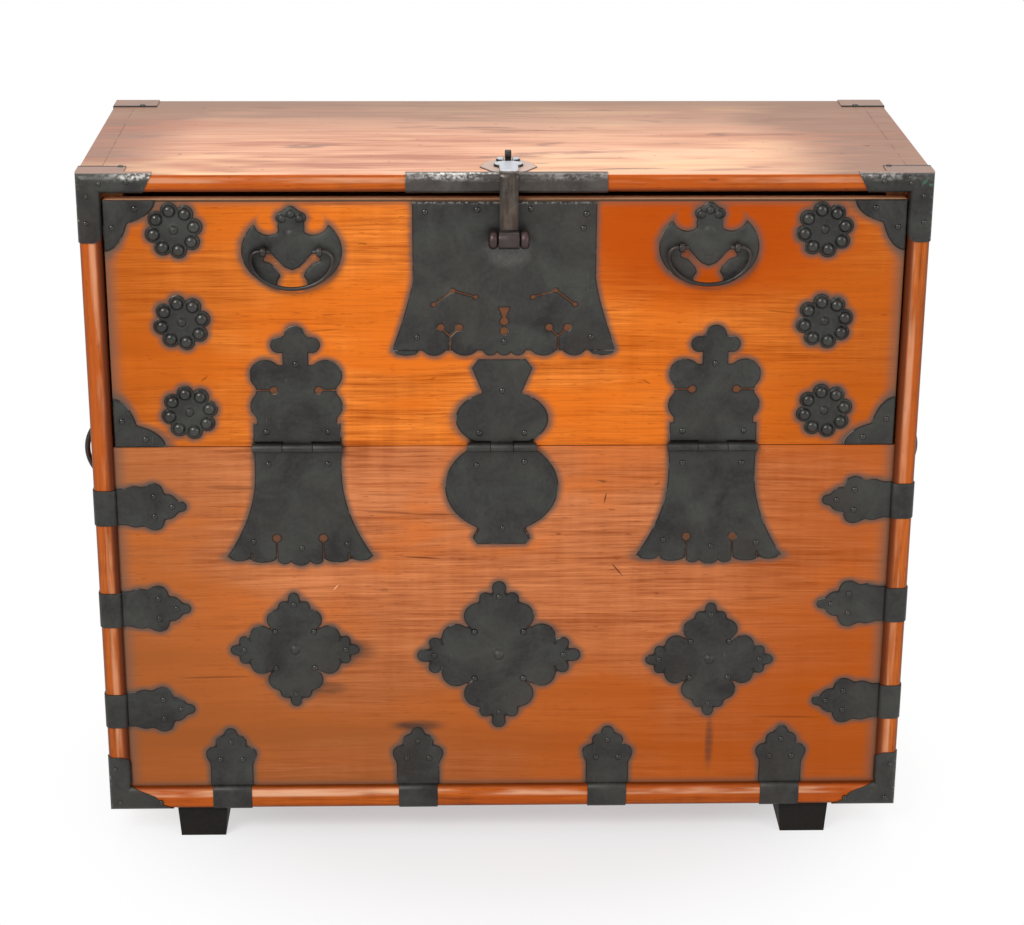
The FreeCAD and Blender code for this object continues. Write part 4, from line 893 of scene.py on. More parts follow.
def frame_wood(name, light, dark, glow, grain):
    """The rails and posts: an oiled half-round front with painted shade in the corner where it meets the panel
    and along its outer edge, a painted highlight along its crown broken into streaks, and the pale painted
    glare on what faces up at the top."""
    paint = Paint(name)
    height, band = fine_wood(paint, light, dark, glow, grain, 0.3)
    if grain == 2:
        crown = paint.line(abs(paint.x), (INNER_X + OUTER_X) / 2 - 2 * MM, 5 * MM)
        inner = abs(paint.x).near(INNER_X, 10, 2) * 0.85
        outer = abs(paint.x).near(OUTER_X, -5, 0) * 0.65
    else:
        crown = (paint.line(paint.z, TOP_Z - 6.5 * MM, 4 * MM)
                 + paint.line(paint.z, PANEL_LO.z - 7.5 * MM, 6 * MM) * 1.9)
        lower = paint.z.ramp(0.5, 0.4)
        inner = (paint.z.near(TOP_LO.z, 7, 1) * (1 - lower) + paint.z.near(PANEL_LO.z, -4, 0) * lower) * 0.7
        outer = paint.z.near(BASE_Z, 7, 1) * 0.6
    front = paint.y.near(EDGE_Y, 16, 8)
    wear_and_highlight = paint.streaks(along(grain, 7.0, 60.0), 3.0, 0.6).ramp(0.36, 0.66)
    up = paint.z.ramp(TOP_Z - TOP_SHEEN, TOP_Z - TOP_SHEEN * 0.35)
    # Painted shade: dark in the inner corner by the door and panel, and along the outer edge where the round turns
    # away
    paint.layer((inner * front).clamp(), srgb(58, 14, 0))
    paint.layer((outer * front).clamp(), srgb(84, 42, 18))
    # Painted highlight along the crown of the round, broken into streaks
    paint.layer((crown * wear_and_highlight * paint.y.near(EDGE_Y, 9, 1) * 0.42).clamp(), srgb(232, 178, 140))
    paint.layer(up, glare(paint))
    return paint.set(Base_Color=paint.colour, Roughness=(band.swing(0.2) + 0.40).clamp(),
                     Normal=paint.bump(height, 0.16, 0.0006), Specular_IOR_Level=0.12,
                     Coat_Weight=(1 - up) * 0.10, Coat_Roughness=0.2)


def plain_wood(name, light, dark, grain):
    """Bare or dirty wood with no oil on it."""
    paint = Paint(name)
    height, band = fine_wood(paint, light, dark, light, grain, 0.4)
    return paint.set(Base_Color=paint.colour, Roughness=(band * 0.2 + 0.6).clamp(),
                     Normal=paint.bump(height, 0.3, 0.0006), Specular_IOR_Level=0.2)


METAL = 0.85


def iron(name, dark, light, rust, rusty=0.25, rough=0.5, wear_and_highlight=None, up=None, tint=None):
    """Old sheet iron: clouded black-brown scale with paler, greener patches, specks of rust, darker edges with
    paler rub marks that are partly painted glints, and glossier nails. The wear mask gives polished rub
    marks with painted highlights, up the painted glare of what faces up on the top board, with its height,
    and tint changes the colour further."""
    paint = Paint(name)
    cloud = paint.noise(paint.place, 17.0, 5.0, 0.62, 0.5)
    speck = paint.noise(paint.place, 210.0, 3.0, 0.65)
    warm = paint.noise(paint.place, 9.0, 3.0, 0.6).ramp(0.48, 0.72)
    scratch = paint.streaks((380.0, 380.0, 34.0), 2.0, 0.5, 1.6).ramp(0.70, 0.78)
    edge, nail = paint.mark("edge"), paint.mark("nail")
    edge_rub_and_glint = edge.ramp(0.45, 0.95) * paint.noise(paint.place, 46.0, 3.0, 0.65).ramp(0.53, 0.66)
    paint.colour = paint.mix((cloud.swing(2.6) + speck.swing(0.8) + 0.45).clamp(), dark, light)
    paint.layer((warm * rusty + speck.ramp(0.60, 0.74) * rusty * 0.8).clamp(), rust)
    paint.layer(scratch * 0.30, shade(light, 2.4))
    paint.layer(edge.ramp(0.05, 0.7) * 0.65, shade(dark, 0.30))
    # Paler rub marks on the edges, partly painted glints
    paint.layer(edge_rub_and_glint * 0.7, (0.24, 0.21, 0.18))
    paint.layer(nail * 0.2, light)
    if tint:
        tint(paint)
    roughness = cloud.swing(0.35) + speck.swing(0.25) + rough - nail * 0.32
    shine = METAL
    if wear_and_highlight:
        # Polished rub marks and painted highlights
        rub_and_highlight = wear_and_highlight(paint, speck)
        paint.layer(rub_and_highlight, (0.56, 0.53, 0.50))
        roughness = roughness - rub_and_highlight * 0.1
    # Painted glare: what faces up on the top board takes a pale tone in place of metal, with dark lines along the
    # plates' rear edges
    if up:
        tone, height = up
        level = paint.z.near(height, -0.5, 0)
        rims = (paint.line(paint.y, EDGE_Y + TOP_IRON_DEEP - 2 * MM, 3.4 * MM)
                + paint.line(paint.y, EDGE_Y + DEPTH - TOP_IRON_DEEP + 2 * MM, 4 * MM))
        pale = paint.mix((cloud.swing(2.0) + speck).clamp(), shade(tone, 0.72), tone)
        pale = paint.mix(edge.ramp(0.2, 0.8) * 0.85, pale, INK)
        paint.layer(level, paint.mix((rims * abs(paint.x).ramp(0.10, 0.20)).clamp(), pale, INK))
        shine = (1 - level) * METAL
    return paint.set(Base_Color=paint.colour, Metallic=shine, Roughness=roughness.clamp(),
                     Normal=paint.bump(cloud * 0.8 + speck * 0.45, 0.35, 0.0005))


def crown_rub_and_highlights(paint, speck):
    """Speckles of rub marks and painted highlights along the crown of the top rail's irons."""
    patch = paint.streaks((16.0, 60.0, 120.0), 3.0, 0.6).ramp(0.42, 0.60)
    speckled = (speck.ramp(0.42, 0.62) * patch * 0.85 + 0.06).clamp()
    return paint.z.near(TOP_Z, -9, -2) * paint.y.near(EDGE_Y, 7, 2) * speckled


def lock_rub_and_glints(paint, speck):
    """Where the hasp's barrel rubs the plate, and painted highlight glints along its upper edge."""
    under = paint.spot(HASP_AXIS[0], HASP_AXIS[2] - 16 * MM, 32 * MM, 22 * MM, 0.95)
    top = paint.z.near(DOOR_HI.z, -5, -2.5) * speck.ramp(0.44, 0.62)
    return (under * (speck * 0.14 + 0.02) + top * 0.32).clamp()


def sheath_rub_and_highlights(paint, speck):
    """The sheath's rub marks and painted highlights are stronger left of the hasp."""
    return crown_rub_and_highlights(paint, speck) * (paint.x.ramp(0.02, -0.04) * 0.6 + 0.4)


def side_rub_and_highlights(paint, speck):
    """Rub marks and painted highlight specks on the crown and the outer corners of the frame's irons."""
    sides = abs(paint.x).near(OUTER_X, -4, 0) * paint.y.near(EDGE_Y, 9, 3) * speck.ramp(0.56, 0.68) * 0.4
    return (crown_rub_and_highlights(paint, speck) * (abs(paint.x).ramp(0.43, 0.40) * 0.6 + 0.2) + sides).clamp()


def green_spot(paint):
    """A trace of verdigris at the upper right corner."""
    spot = paint.spot(OUTER_X - 6 * MM, TOP_Z - 11 * MM, 9 * MM, 7 * MM, 0.8) * paint.y.near(EDGE_Y, 8, 2)
    paint.layer(spot * paint.noise(paint.place, 160.0).ramp(0.48, 0.60) * 0.8, (0.07, 0.17, 0.12))


def hasp_streaks_and_edge_shade(paint):
    """Dark streaks down the strap, painted shade on its long edges where the crowned strap turns away,
    and a purple-brown barrel.
    """
    paint.layer(paint.streaks((170.0, 60.0, 24.0), 3.0, 0.6).ramp(0.46, 0.64) * 0.6, (0.040, 0.026, 0.019))
    # Painted shade on the strap's long edges
    paint.layer(abs(paint.x - HASP_AXIS[0]).near(0, 5, 10) * 0.6, (0.026, 0.022, 0.020))
    paint.layer(paint.z.near(HASP_AXIS[2], 13, 10) * 0.85, (0.062, 0.048, 0.047))


DOOR_WOOD = board_wood("oiled_door_wood", srgb(232, 130, 48), srgb(158, 70, 10), srgb(214, 104, 18),
                       srgb(154, 70, 8), srgb(156, 70, 10))
PANEL_WOOD = board_wood("oiled_panel_wood", srgb(206, 126, 78), srgb(144, 72, 34), srgb(200, 102, 34),
                        srgb(146, 80, 36), srgb(162, 72, 6))
POST_WOOD = frame_wood("oiled_post_wood", srgb(190, 96, 28), srgb(112, 46, 4), srgb(172, 78, 12), 2)
RAIL_WOOD = frame_wood("oiled_rail_wood", srgb(190, 92, 18), srgb(124, 50, 2), srgb(174, 74, 4), 0)
RAW_WOOD = plain_wood("aged_raw_wood", srgb(168, 116, 74), srgb(104, 66, 40), 0)
STOP_WOOD = plain_wood("aged_batten_wood", srgb(168, 116, 74), srgb(104, 66, 40), 2)
FOOT_WOOD = plain_wood("dark_runner_wood", srgb(27, 22, 18), srgb(12, 10, 9), 1)
SCALE_RUST = (0.070, 0.048, 0.037)
SCALE = ((0.033, 0.031, 0.030), (0.071, 0.072, 0.065), SCALE_RUST)
# Painted glare on the tops of the corner irons
TOP_IRON_GLARE = srgb(148, 116, 100)
PLATE_IRON = iron("beaten_plate_iron", *SCALE)
LOCK_IRON = iron("beaten_lock_iron", *SCALE, wear_and_highlight=lock_rub_and_glints)
FRAME_IRON = iron("beaten_frame_iron", *SCALE, 0.3, wear_and_highlight=side_rub_and_highlights,
                  up=(TOP_IRON_GLARE, TOP_Z + 0.8 * MM), tint=green_spot)
SHEATH_IRON = iron("rubbed_sheath_iron", (0.05, 0.045, 0.042), (0.12, 0.11, 0.10), SCALE_RUST, 0.3, 0.42,
                   wear_and_highlight=sheath_rub_and_highlights)
# Painted glare on the tops of the rest plate and, below, the hasp's tail
REST_IRON = iron("rubbed_rest_iron", *SCALE, up=(srgb(196, 166, 150), TOP_Z + 0.8 * MM))
FORGED_IRON = iron("forged_handle_iron", (0.026, 0.024, 0.023), (0.075, 0.068, 0.062), (0.060, 0.036, 0.026),
                   0.4, 0.38)
HASP_IRON = iron("rubbed_hasp_iron", (0.065, 0.055, 0.047), (0.170, 0.145, 0.122), (0.090, 0.052, 0.032), 0.5, 0.36,
                 up=(srgb(196, 199, 206), TOP_Z + 4.2 * MM), tint=hasp_streaks_and_edge_shade)
RING_IRON = iron("purple_ring_iron", (0.036, 0.024, 0.025), (0.092, 0.068, 0.070), (0.070, 0.030, 0.024), 0.5, 0.42)


# Plates, nails and hinges

stains = {"door": [], "carcass": []}


def plates(name, body, node, field, span, places, relief=sheet_relief, spots=(), step=FINE_STEP, marks=None,
           material=PLATE_IRON):
    """Like plates on the front as one piece, with their nails. A place is x, z and the signs of u and v. The
    wood behind is told of each outline."""
    form = Form()
    for x, z, su, sv in places:
        def turned_field(u, v, pierced=True, su=su, sv=sv):
            return field(u * su, v * sv, pierced)
        u0, u1, v0, v1 = span
        us, vs = sorted((u0 * su, u1 * su)), sorted((v0 * sv, v1 * sv))
        cut_sheet(form, turned_field, (*us, *vs), front(x, z), step, relief, marks)
        nails(form, front(x, z), [(u * su, v * sv) for u, v in spots])
        stains[body].append((turned_field, x, z))
    form.piece(name, body, "sheet_iron", material, [node])


def middle_of(node):
    """A node's middle as x and z."""
    low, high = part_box(node)
    return (low.x + high.x) / 2, (low.z + high.z) / 2


def half_of(node):
    """Half of a node's width and height."""
    low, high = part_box(node)
    return (high.x - low.x) / 2, (high.z - low.z) / 2


def diamond_nails(half_u, half_v):
    """One nail in each tip and one over the eye of each slit."""
    tips = [(s * half_u * TIP_NAIL_SHARE, 0) for s in (-1, 1)] + [(0, s * half_v * TIP_NAIL_SHARE) for s in (-1, 1)]
    return tips + [(s * half_u * EYE_SHARES[0], t * half_v * EYE_SHARES[1]) for s in (-1, 1) for t in (-1, 1)]


DIAMOND_STUD = mm(5.2, 2.8, 9)
TIP_NAIL_SHARE = 0.79

for side in ("left", "middle", "right"):
    node = "diamond_" + side
    half_u, half_v = half_of(node)
    plates(node + "_plate", "carcass", node, cloud_diamond(half_u, half_v), (-half_u, half_u, -half_v, half_v),
           [(*middle_of(node), 1, 1)], lambda u, v, depth: studded_relief(u, v, depth, *DIAMOND_STUD),
           diamond_nails(half_u, half_v))


def hinge_piece(name, node, body, field, span, x, half, outer, spots):
    """A leaf cut clear of the other leaf's knuckles, with its own: the outer two of three, or the middle one."""
    third = half * 2 / 3
    rolls = [(x - half + third, x + half - third)]
    if outer:
        rolls = [(x - half, x - half + third), (x + half - third, x + half)]
    reach = KNUCKLE_R + KNUCKLE_GAP

    def clear(u, v, pierced=True):
        near = field(u, v, pierced)
        if outer:
            return cut(near, block(u, v, -third / 2 - KNUCKLE_GAP, third / 2 + KNUCKLE_GAP, -reach, reach))
        return cut(near, block(np.abs(u), v, third / 2 - KNUCKLE_GAP, half * 2, -reach, reach))

    form = Form()
    cut_sheet(form, clear, span, front(x, AXIS[2]))
    nails(form, front(x, AXIS[2]), spots)
    for x0, x1 in rolls:
        turned(form, np.array([(x0 + x1) / 2, AXIS[1], AXIS[2]]), RIGHT,
               drum_profile((x1 - x0 - KNUCKLE_GAP) / 2, KNUCKLE_R, KNUCKLE_EDGE), KNUCKLE_SIDES)
    stains[body].append((field, x, AXIS[2]))
    form.piece(name, body, "sheet_iron", PLATE_IRON, [node])


KNUCKLE_HALF = 50 * MM
VASE_KNUCKLE_HALF = 38.5 * MM
CLOUD_SPAN = mm(-52, 52, 0, 142)
BELL_SPAN = mm(-84, 84, -146, 0)
CLOUD_NAILS = mm((0, 96), (-34, 17.5), (34, 17.5))
BELL_NAILS = mm((-33, -20.5), (33, -20.5), (-52, -113), (53, -116.5), (2, -121))

for side in ("left", "right"):
    upper, lower = ("hinge_%s_%s" % (side, part) for part in ("upper", "lower"))
    x = middle_of(upper)[0]
    hinge_piece("cloud_leaf_" + side, upper, "door", cloud_leaf, CLOUD_SPAN, x, KNUCKLE_HALF, False, CLOUD_NAILS)
    hinge_piece("bell_leaf_" + side, lower, "carcass", bell_leaf, BELL_SPAN, x, KNUCKLE_HALF, True, BELL_NAILS)

x = middle_of("hinge_middle_upper")[0]
hinge_piece("vase_lip", "hinge_middle_upper", "door", vase_lip, (-52 * MM, 52 * MM, 0, VASE_TOP), x,
            VASE_KNUCKLE_HALF, False, mm((0, 65), (-25, 15.5), (25, 15.5)))
hinge_piece("vase_belly", "hinge_middle_lower", "carcass", vase_belly, mm(-65, 65, -119, 0), x,
            VASE_KNUCKLE_HALF, True, mm((-28, -22.5), (25, -18.5), (1, -98)))

# Lock plate
lock_lo, lock_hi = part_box("lock_plate")
LOCK_X = (lock_lo.x + lock_hi.x) / 2
LOCK_LONG = lock_hi.z - lock_lo.z
LOCK_NAILS = mm((-85.5, 161.5), (-29.5, 164), (28, 165), (88, 159.5), (85, 143.5), (-95, 21), (95, 21), (0, 16))
plates("lock_bell", "door", "lock_plate", lock_bell(LOCK_LONG), (-LOCK_FOOT_HALF, LOCK_FOOT_HALF, 0, LOCK_LONG),
       [(LOCK_X, lock_lo.z, 1, 1)], spots=LOCK_NAILS, material=LOCK_IRON)

# Bat plates
BAT_TOP = 50 * MM
BAT_NAILS = mm((0, 12), (0, -12))
for side in ("left", "right"):
    pivot = JOINTS["bail_swing_" + side]["pos_m"]
    plates("bat_plate_" + side, "door", "bail_plate_" + side, bat,
           (-BAT_HALF, BAT_HALF, -BAT_RISE - BAT_LOW, BAT_TOP), [(pivot[0], pivot[2], 1, 1)], bat_relief, BAT_NAILS)

# Corner plates and rosettes on the door
CORNER_NAILS = mm((9, 30), (34, 9))
plates("door_ogee_corners", "door", "door_corner_plates", ogee_corner, (0, OGEE_LONG, 0, OGEE_LONG),
       [(DOOR_LO.x, DOOR_LO.z, 1, 1), (DOOR_HI.x, DOOR_LO.z, -1, 1), (DOOR_LO.x, DOOR_HI.z, 1, -1),
        (DOOR_HI.x, DOOR_HI.z, -1, -1)], spots=CORNER_NAILS)

ROSETTE_SPAN = ROSETTE_R + BOSS_R
ROSETTE_STEP = 0.9 * MM
ROSETTE_TOP, ROSETTE_LEAN, ROSETTE_PITCH_SHARE = 33 * MM, 4.5 * MM, 0.3692
for side in ("left", "right"):
    centre, top_z = middle_of("rosettes_" + side)[0], DOOR_HI.z - ROSETTE_TOP
    low_z = top_z - (DOOR_HI.z - DOOR_LO.z) * ROSETTE_PITCH_SHARE * 2
    places = [(centre + ROSETTE_LEAN * (i - 1), top_z + (low_z - top_z) * i / 2, 1, 1) for i in range(3)]
    plates("rosettes_%s_embossed" % side, "door", "rosettes_" + side, rosette,
           (-ROSETTE_SPAN, ROSETTE_SPAN, -ROSETTE_SPAN, ROSETTE_SPAN), places, rosette_relief, step=ROSETTE_STEP,
           marks=rosette_shine)


# Straps: a leaf on the panel and a band bent round the frame's edge
OUTER_ROUND, INNER_ROUND = mm(7, 6)
ARC_STEPS = 9


def arc(cx, cy, r, start, stop):
    """Points on a circle between two angles in degrees."""
    turn = np.radians(np.linspace(start, stop, ARC_STEPS))
    return np.stack([cx + r * np.cos(turn), cy + r * np.sin(turn)], -1)


def bent_band(form, way, half, middle, horizontal):
    """A strip bent round an edge. way gives its outer line in the section's plane, the inner line lies one
    sheet inside, and the strip's long edges are rounded by dropping the outer line a little there."""
    way = np.asarray(way)
    along = headings(way)
    out = np.stack([along[:, 1], -along[:, 0]], -1)
    across = np.array([-half, -half + EDGE_WEAR * 0.3, -half + EDGE_WEAR,
                       half - EDGE_WEAR, half - EDGE_WEAR * 0.3, half])
    drop = np.array([EDGE_WEAR, EDGE_WEAR * 0.3, 0, 0, EDGE_WEAR * 0.3, EDGE_WEAR])
    outer = way[:, None] - out[:, None] * drop[None, :, None]
    inner = np.repeat((way - out * SHEET)[:, None], 2, axis=1)
    section = np.concatenate([outer, inner], axis=1)
    offset = np.concatenate([across, [half, -half]])
    a, b = section[..., 0], section[..., 1]
    c = np.broadcast_to(middle + offset, a.shape)
    points = np.stack([a, b, c] if horizontal else [c, b, a], -1)
    wear = np.array([1.0, 0.6, 0.0, 0.0, 0.6, 1.0, 1.0, 1.0])
    form.grid(points[::-1] if not horizontal else points, closed_rows=True, caps=True,
              edge=np.broadcast_to(wear, a.shape).ravel())


def side_way(sign):
    """Round the post's edge: along its side, over the outer round, across and down the inner round."""
    x = POST_LO.x - SHEET
    start = np.array([[x, EDGE_Y + 30 * MM], [x, EDGE_Y + OUTER_ROUND + 1 * MM]])
    first = arc(POST_LO.x + OUTER_ROUND, EDGE_Y + OUTER_ROUND, OUTER_ROUND + SHEET, 180, 270)
    second = arc(POST_HI.x - INNER_ROUND, EDGE_Y + INNER_ROUND, INNER_ROUND + SHEET, 270, 352)
    return np.concatenate([start, first, second]) * (sign, 1)


STRAP_FIELD = leaf_tongue(STRAP_HALF, STRAP_LONG, STRAP_BODY_SHARE, STRAP_TIP_SHARE, STRAP_LOBE_SHARES)
FOOT_FIELD = leaf_tongue(FOOT_HALF, FOOT_LONG, FOOT_BODY_SHARE, FOOT_TIP_SHARE, FOOT_LOBE_SHARES)
BAND_HALF = 21 * MM
FOOT_BAND_HALF = 22.5 * MM
LEAF_NAILS = mm((-12, 42), (12, 42), (0, 62))
SIDE_STRAPS = {"left": mm(377, 253, 127), "right": mm(382, 255, 133)}
BOTTOM_STRAPS = mm(-316, -100, 120, 322)

for side, sign in (("left", 1), ("right", -1)):
    form = Form()
    for height in SIDE_STRAPS[side]:
        z = BASE_Z + height
        place = Place((-INNER_X * sign, FACE_Y, z), UP * -sign, RIGHT * sign)
        cut_sheet(form, STRAP_FIELD, (-STRAP_HALF * 1.4, STRAP_HALF * 1.4, 0, STRAP_LONG), place)
        nails(form, place, LEAF_NAILS)
        way = side_way(sign)
        bent_band(form, way if sign > 0 else way[::-1], BAND_HALF, z, True)
        stains["carcass"].append((lambda u, v, pierced, s=sign: STRAP_FIELD(v, u * s), -INNER_X * sign, z))
    form.piece("side_straps_%s_lobed" % side, "carcass", "sheet_iron", PLATE_IRON, ["side_straps_" + side])

bottom_way = np.concatenate([
    np.array([[FLOOR_LO.z - SHEET, EDGE_Y + 7.5 * MM]]),
    arc(FLOOR_LO.z + OUTER_ROUND, EDGE_Y + OUTER_ROUND, OUTER_ROUND + SHEET, 180, 270),
    arc(PANEL_LO.z - INNER_ROUND, EDGE_Y + INNER_ROUND, INNER_ROUND + SHEET, 270, 352)])
form = Form()
for x in BOTTOM_STRAPS:
    place = front(x, PANEL_LO.z)
    cut_sheet(form, FOOT_FIELD, (-FOOT_HALF * 1.3, FOOT_HALF * 1.3, 0, FOOT_LONG), place)
    nails(form, place, mm((-13, 34), (13, 34), (0, 56)))
    bent_band(form, bottom_way, FOOT_BAND_HALF, x, False)
    stains["carcass"].append((FOOT_FIELD, x, PANEL_LO.z))
form.piece("bottom_straps_lobed", "carcass", "sheet_iron", PLATE_IRON, ["bottom_straps"])


# Front bails and their eyes
BAIL_WIRE_R, BAIL_HALF, BAIL_DROP, BAIL_ELBOW = mm(2.3, 44, 41.5, 9.5)
BAIL_EYE_X, BAIL_EYE_R, BAIL_EYE_W, BAIL_SHANK_R = mm(30, 5.4, 6, 3.2)
BAIL_INNER = 24 * MM
PATH_STEPS = 24


def bail_path():
    """Right half of the wire as offsets from the pivot: straight through the eye, a quarter turn down, and a
    quarter oval to the bottom."""
    bend = BAIL_HALF - BAIL_ELBOW
    t = np.linspace(0, math.pi / 2, 10)
    elbow = np.stack([bend + BAIL_ELBOW * np.sin(t), -BAIL_ELBOW + BAIL_ELBOW * np.cos(t)], -1)
    t = np.linspace(0, math.pi / 2, PATH_STEPS)[1:]
    bow = np.stack([BAIL_HALF * np.cos(t), -BAIL_ELBOW - (BAIL_DROP - BAIL_ELBOW) * np.sin(t)], -1)
    return np.concatenate([[[BAIL_INNER, 0]], elbow, bow])


for side in ("left", "right"):
    pivot = np.array(JOINTS["bail_swing_" + side]["pos_m"])
    half = bail_path()
    whole = np.concatenate([half, (half * (-1, 1))[-2::-1]])
    path = pivot + whole[:, 0, None] * RIGHT + whole[:, 1, None] * UP
    form = Form()
    rounded_rod(form, path, BAIL_WIRE_R, BACKWARD)
    form.piece("bail_wire_" + side, "bail_body_" + side, "forged_iron", FORGED_IRON, ["bail_" + side])
    form = Form()
    for s in (-1, 1):
        centre = pivot + RIGHT * (s * BAIL_EYE_X)
        turned(form, centre, RIGHT, drum_profile(BAIL_EYE_W / 2, BAIL_EYE_R, 1.3 * MM, BAIL_WIRE_R + 0.6 * MM))
        tube(form, [centre + BACKWARD * BAIL_EYE_R * 0.75, centre + BACKWARD * (FACE_Y - pivot[1] - SHEET * 0.5)],
             BAIL_SHANK_R, RIGHT)
    form.piece("bail_eyes_%s_forged" % side, "door", "forged_iron", FORGED_IRON, ["bail_eyes_" + side])


# Side bails: elbow, swelling arm and bend into the grip
SIDE_WIRE_R, SIDE_HALF, SIDE_LEAN, SIDE_BACK, SIDE_ARM = 3.2 * MM, 58 * MM, 30.0, 30.0, 43 * MM
SIDE_ELBOW, SIDE_BEND, SIDE_EYE_X, SIDE_EYE_R, SIDE_EYE_W = mm(7.5, 14, 46, 6.6, 8)
SIDE_ROSE_R, SIDE_ROSE_H, SIDE_SHANK_R = mm(17, 3.2, 3.4)


def side_path():
    """Half of the wire as outward, along and down: straight through the eye, an elbow, an arc that swells
    outward and comes back, and a bend into the grip."""
    lean, back = math.radians(SIDE_LEAN), math.radians(SIDE_BACK)
    bend = SIDE_HALF - SIDE_ELBOW
    t = np.linspace(0, math.pi / 2, 8)
    drop = SIDE_ELBOW * (1 - np.cos(t))
    elbow = np.stack([drop * math.sin(lean), bend + SIDE_ELBOW * np.sin(t), drop * math.cos(lean)], -1)
    out, along, down = elbow[-1]
    r = SIDE_ARM / (math.sin(lean) + math.sin(back))
    t = lean - (lean + back) * np.linspace(0, 1, 14)[1:]
    arm = np.stack([out + r * (np.cos(t) - math.cos(lean)), along + 0 * t,
                    down + r * (math.sin(lean) - np.sin(t))], -1)
    out, along, down = arm[-1]
    t = np.linspace(0, math.pi / 2, 8)[1:]
    reach = SIDE_BEND * np.sin(t)
    turn = np.stack([out - reach * math.sin(back), along - SIDE_BEND * (1 - np.cos(t)),
                     down + reach * math.cos(back)], -1)
    return np.concatenate([[[0, SIDE_EYE_X - SIDE_EYE_W / 2 - 3 * MM, 0]], elbow, arm, turn])


for side, sign in (("left", -1), ("right", 1)):
    pivot = np.array(JOINTS["side_bail_swing_" + side]["pos_m"])
    half = side_path()
    whole = np.concatenate([half, (half * (1, -1, 1))[::-1]])
    path = pivot + whole * (sign, 1, -1)
    form = Form()
    rounded_rod(form, path, SIDE_WIRE_R, RIGHT)
    form.piece("side_bail_wire_" + side, "side_bail_body_" + side, "forged_iron", FORGED_IRON,
               ["side_bail_" + side])
    eyes, roses = Form(), Form()
    wall = POST_LO.x * -sign
    for s in (-1, 1):
        centre = pivot + BACKWARD * (s * SIDE_EYE_X)
        turned(eyes, centre, BACKWARD, drum_profile(SIDE_EYE_W / 2, SIDE_EYE_R, 1.6 * MM, SIDE_WIRE_R + 0.7 * MM))
        foot = centre.copy()
        foot[0] = wall + sign * SHEET
        tube(eyes, [centre - RIGHT * sign * SIDE_EYE_R * 0.8, foot], SIDE_SHANK_R, BACKWARD)
        seat = np.array([wall, centre[1], centre[2]])
        rose = [(0, SIDE_ROSE_R), (SHEET * 0.6, SIDE_ROSE_R), (SHEET, SIDE_ROSE_R - 0.6 * MM)]
        rose += [(SHEET + SIDE_ROSE_H * math.cos(t) ** 2, SIDE_ROSE_R * 0.8 * math.sin(t) + 0.2 * MM)
                 for t in np.linspace(math.pi / 2, 0.02, 8)]
        turned(roses, seat, RIGHT * sign, rose)
    eyes.piece("side_eyes_%s_forged" % side, "carcass", "forged_iron", FORGED_IRON, ["side_handle_eyes_" + side])
    roses.piece("side_roses_" + side, "carcass", "sheet_iron", PLATE_IRON, ["side_handle_roses_" + side])


# Hasp with its barrel, strap and forked tail, the two lock rings, the rest plate and the staple
BARREL_R, BARREL_W, LOCK_RING_W, LOCK_BORE_R, LOCK_SHANK_R = mm(10.5, 22.5, 10.5, 4.6, 4.4)
STRAP_W, STRAP_T, ARM_T, HASP_BEND = mm(20, 5.5, 3, 9)
TAIL_START, TAIL_END, EAR_HALF, EAR_R, HORN_R, SLOT_START = mm(24, 62, 16, 9, 6.5, 43)
STAPLE_W, STAPLE_R, STAPLE_Y, STAPLE_RISE, STAPLE_HOLE_R, STAPLE_SHANK_R = mm(7, 5, 50, 10, 2.6, 3.3)
TAIL_EDGE = 1.2 * MM
LIFT = 0.3 * MM
MOVING_GAP = 0.3 * MM
RISE_STEPS, BEND_STEPS, WIDTH_STEPS = 14, 12, 15


def hasp_tail(u, v):
    """Two ears, a pair of horns and a slot open at the back, in the top board's plane."""
    side = np.abs(u)
    body = joined(block(side, v, -1, STRAP_W / 2, 0, TAIL_START + EAR_R),
                  block(side, v, -1, EAR_HALF - EAR_R, TAIL_START, TAIL_END),
                  disc(side, v, EAR_HALF - EAR_R, TAIL_START + EAR_R, EAR_R),
                  disc(side, v, EAR_HALF - HORN_R - ARM_T, TAIL_END - HORN_R, HORN_R))
    slot = STAPLE_W / 2 + 1 * MM
    return cut(body, block(side, v, -1, slot, SLOT_START, TAIL_END * 2))


def tail_relief(u, v, depth):
    """The arm's thickness with rounded edges."""
    return ARM_T - edge_drop(depth, TAIL_EDGE)


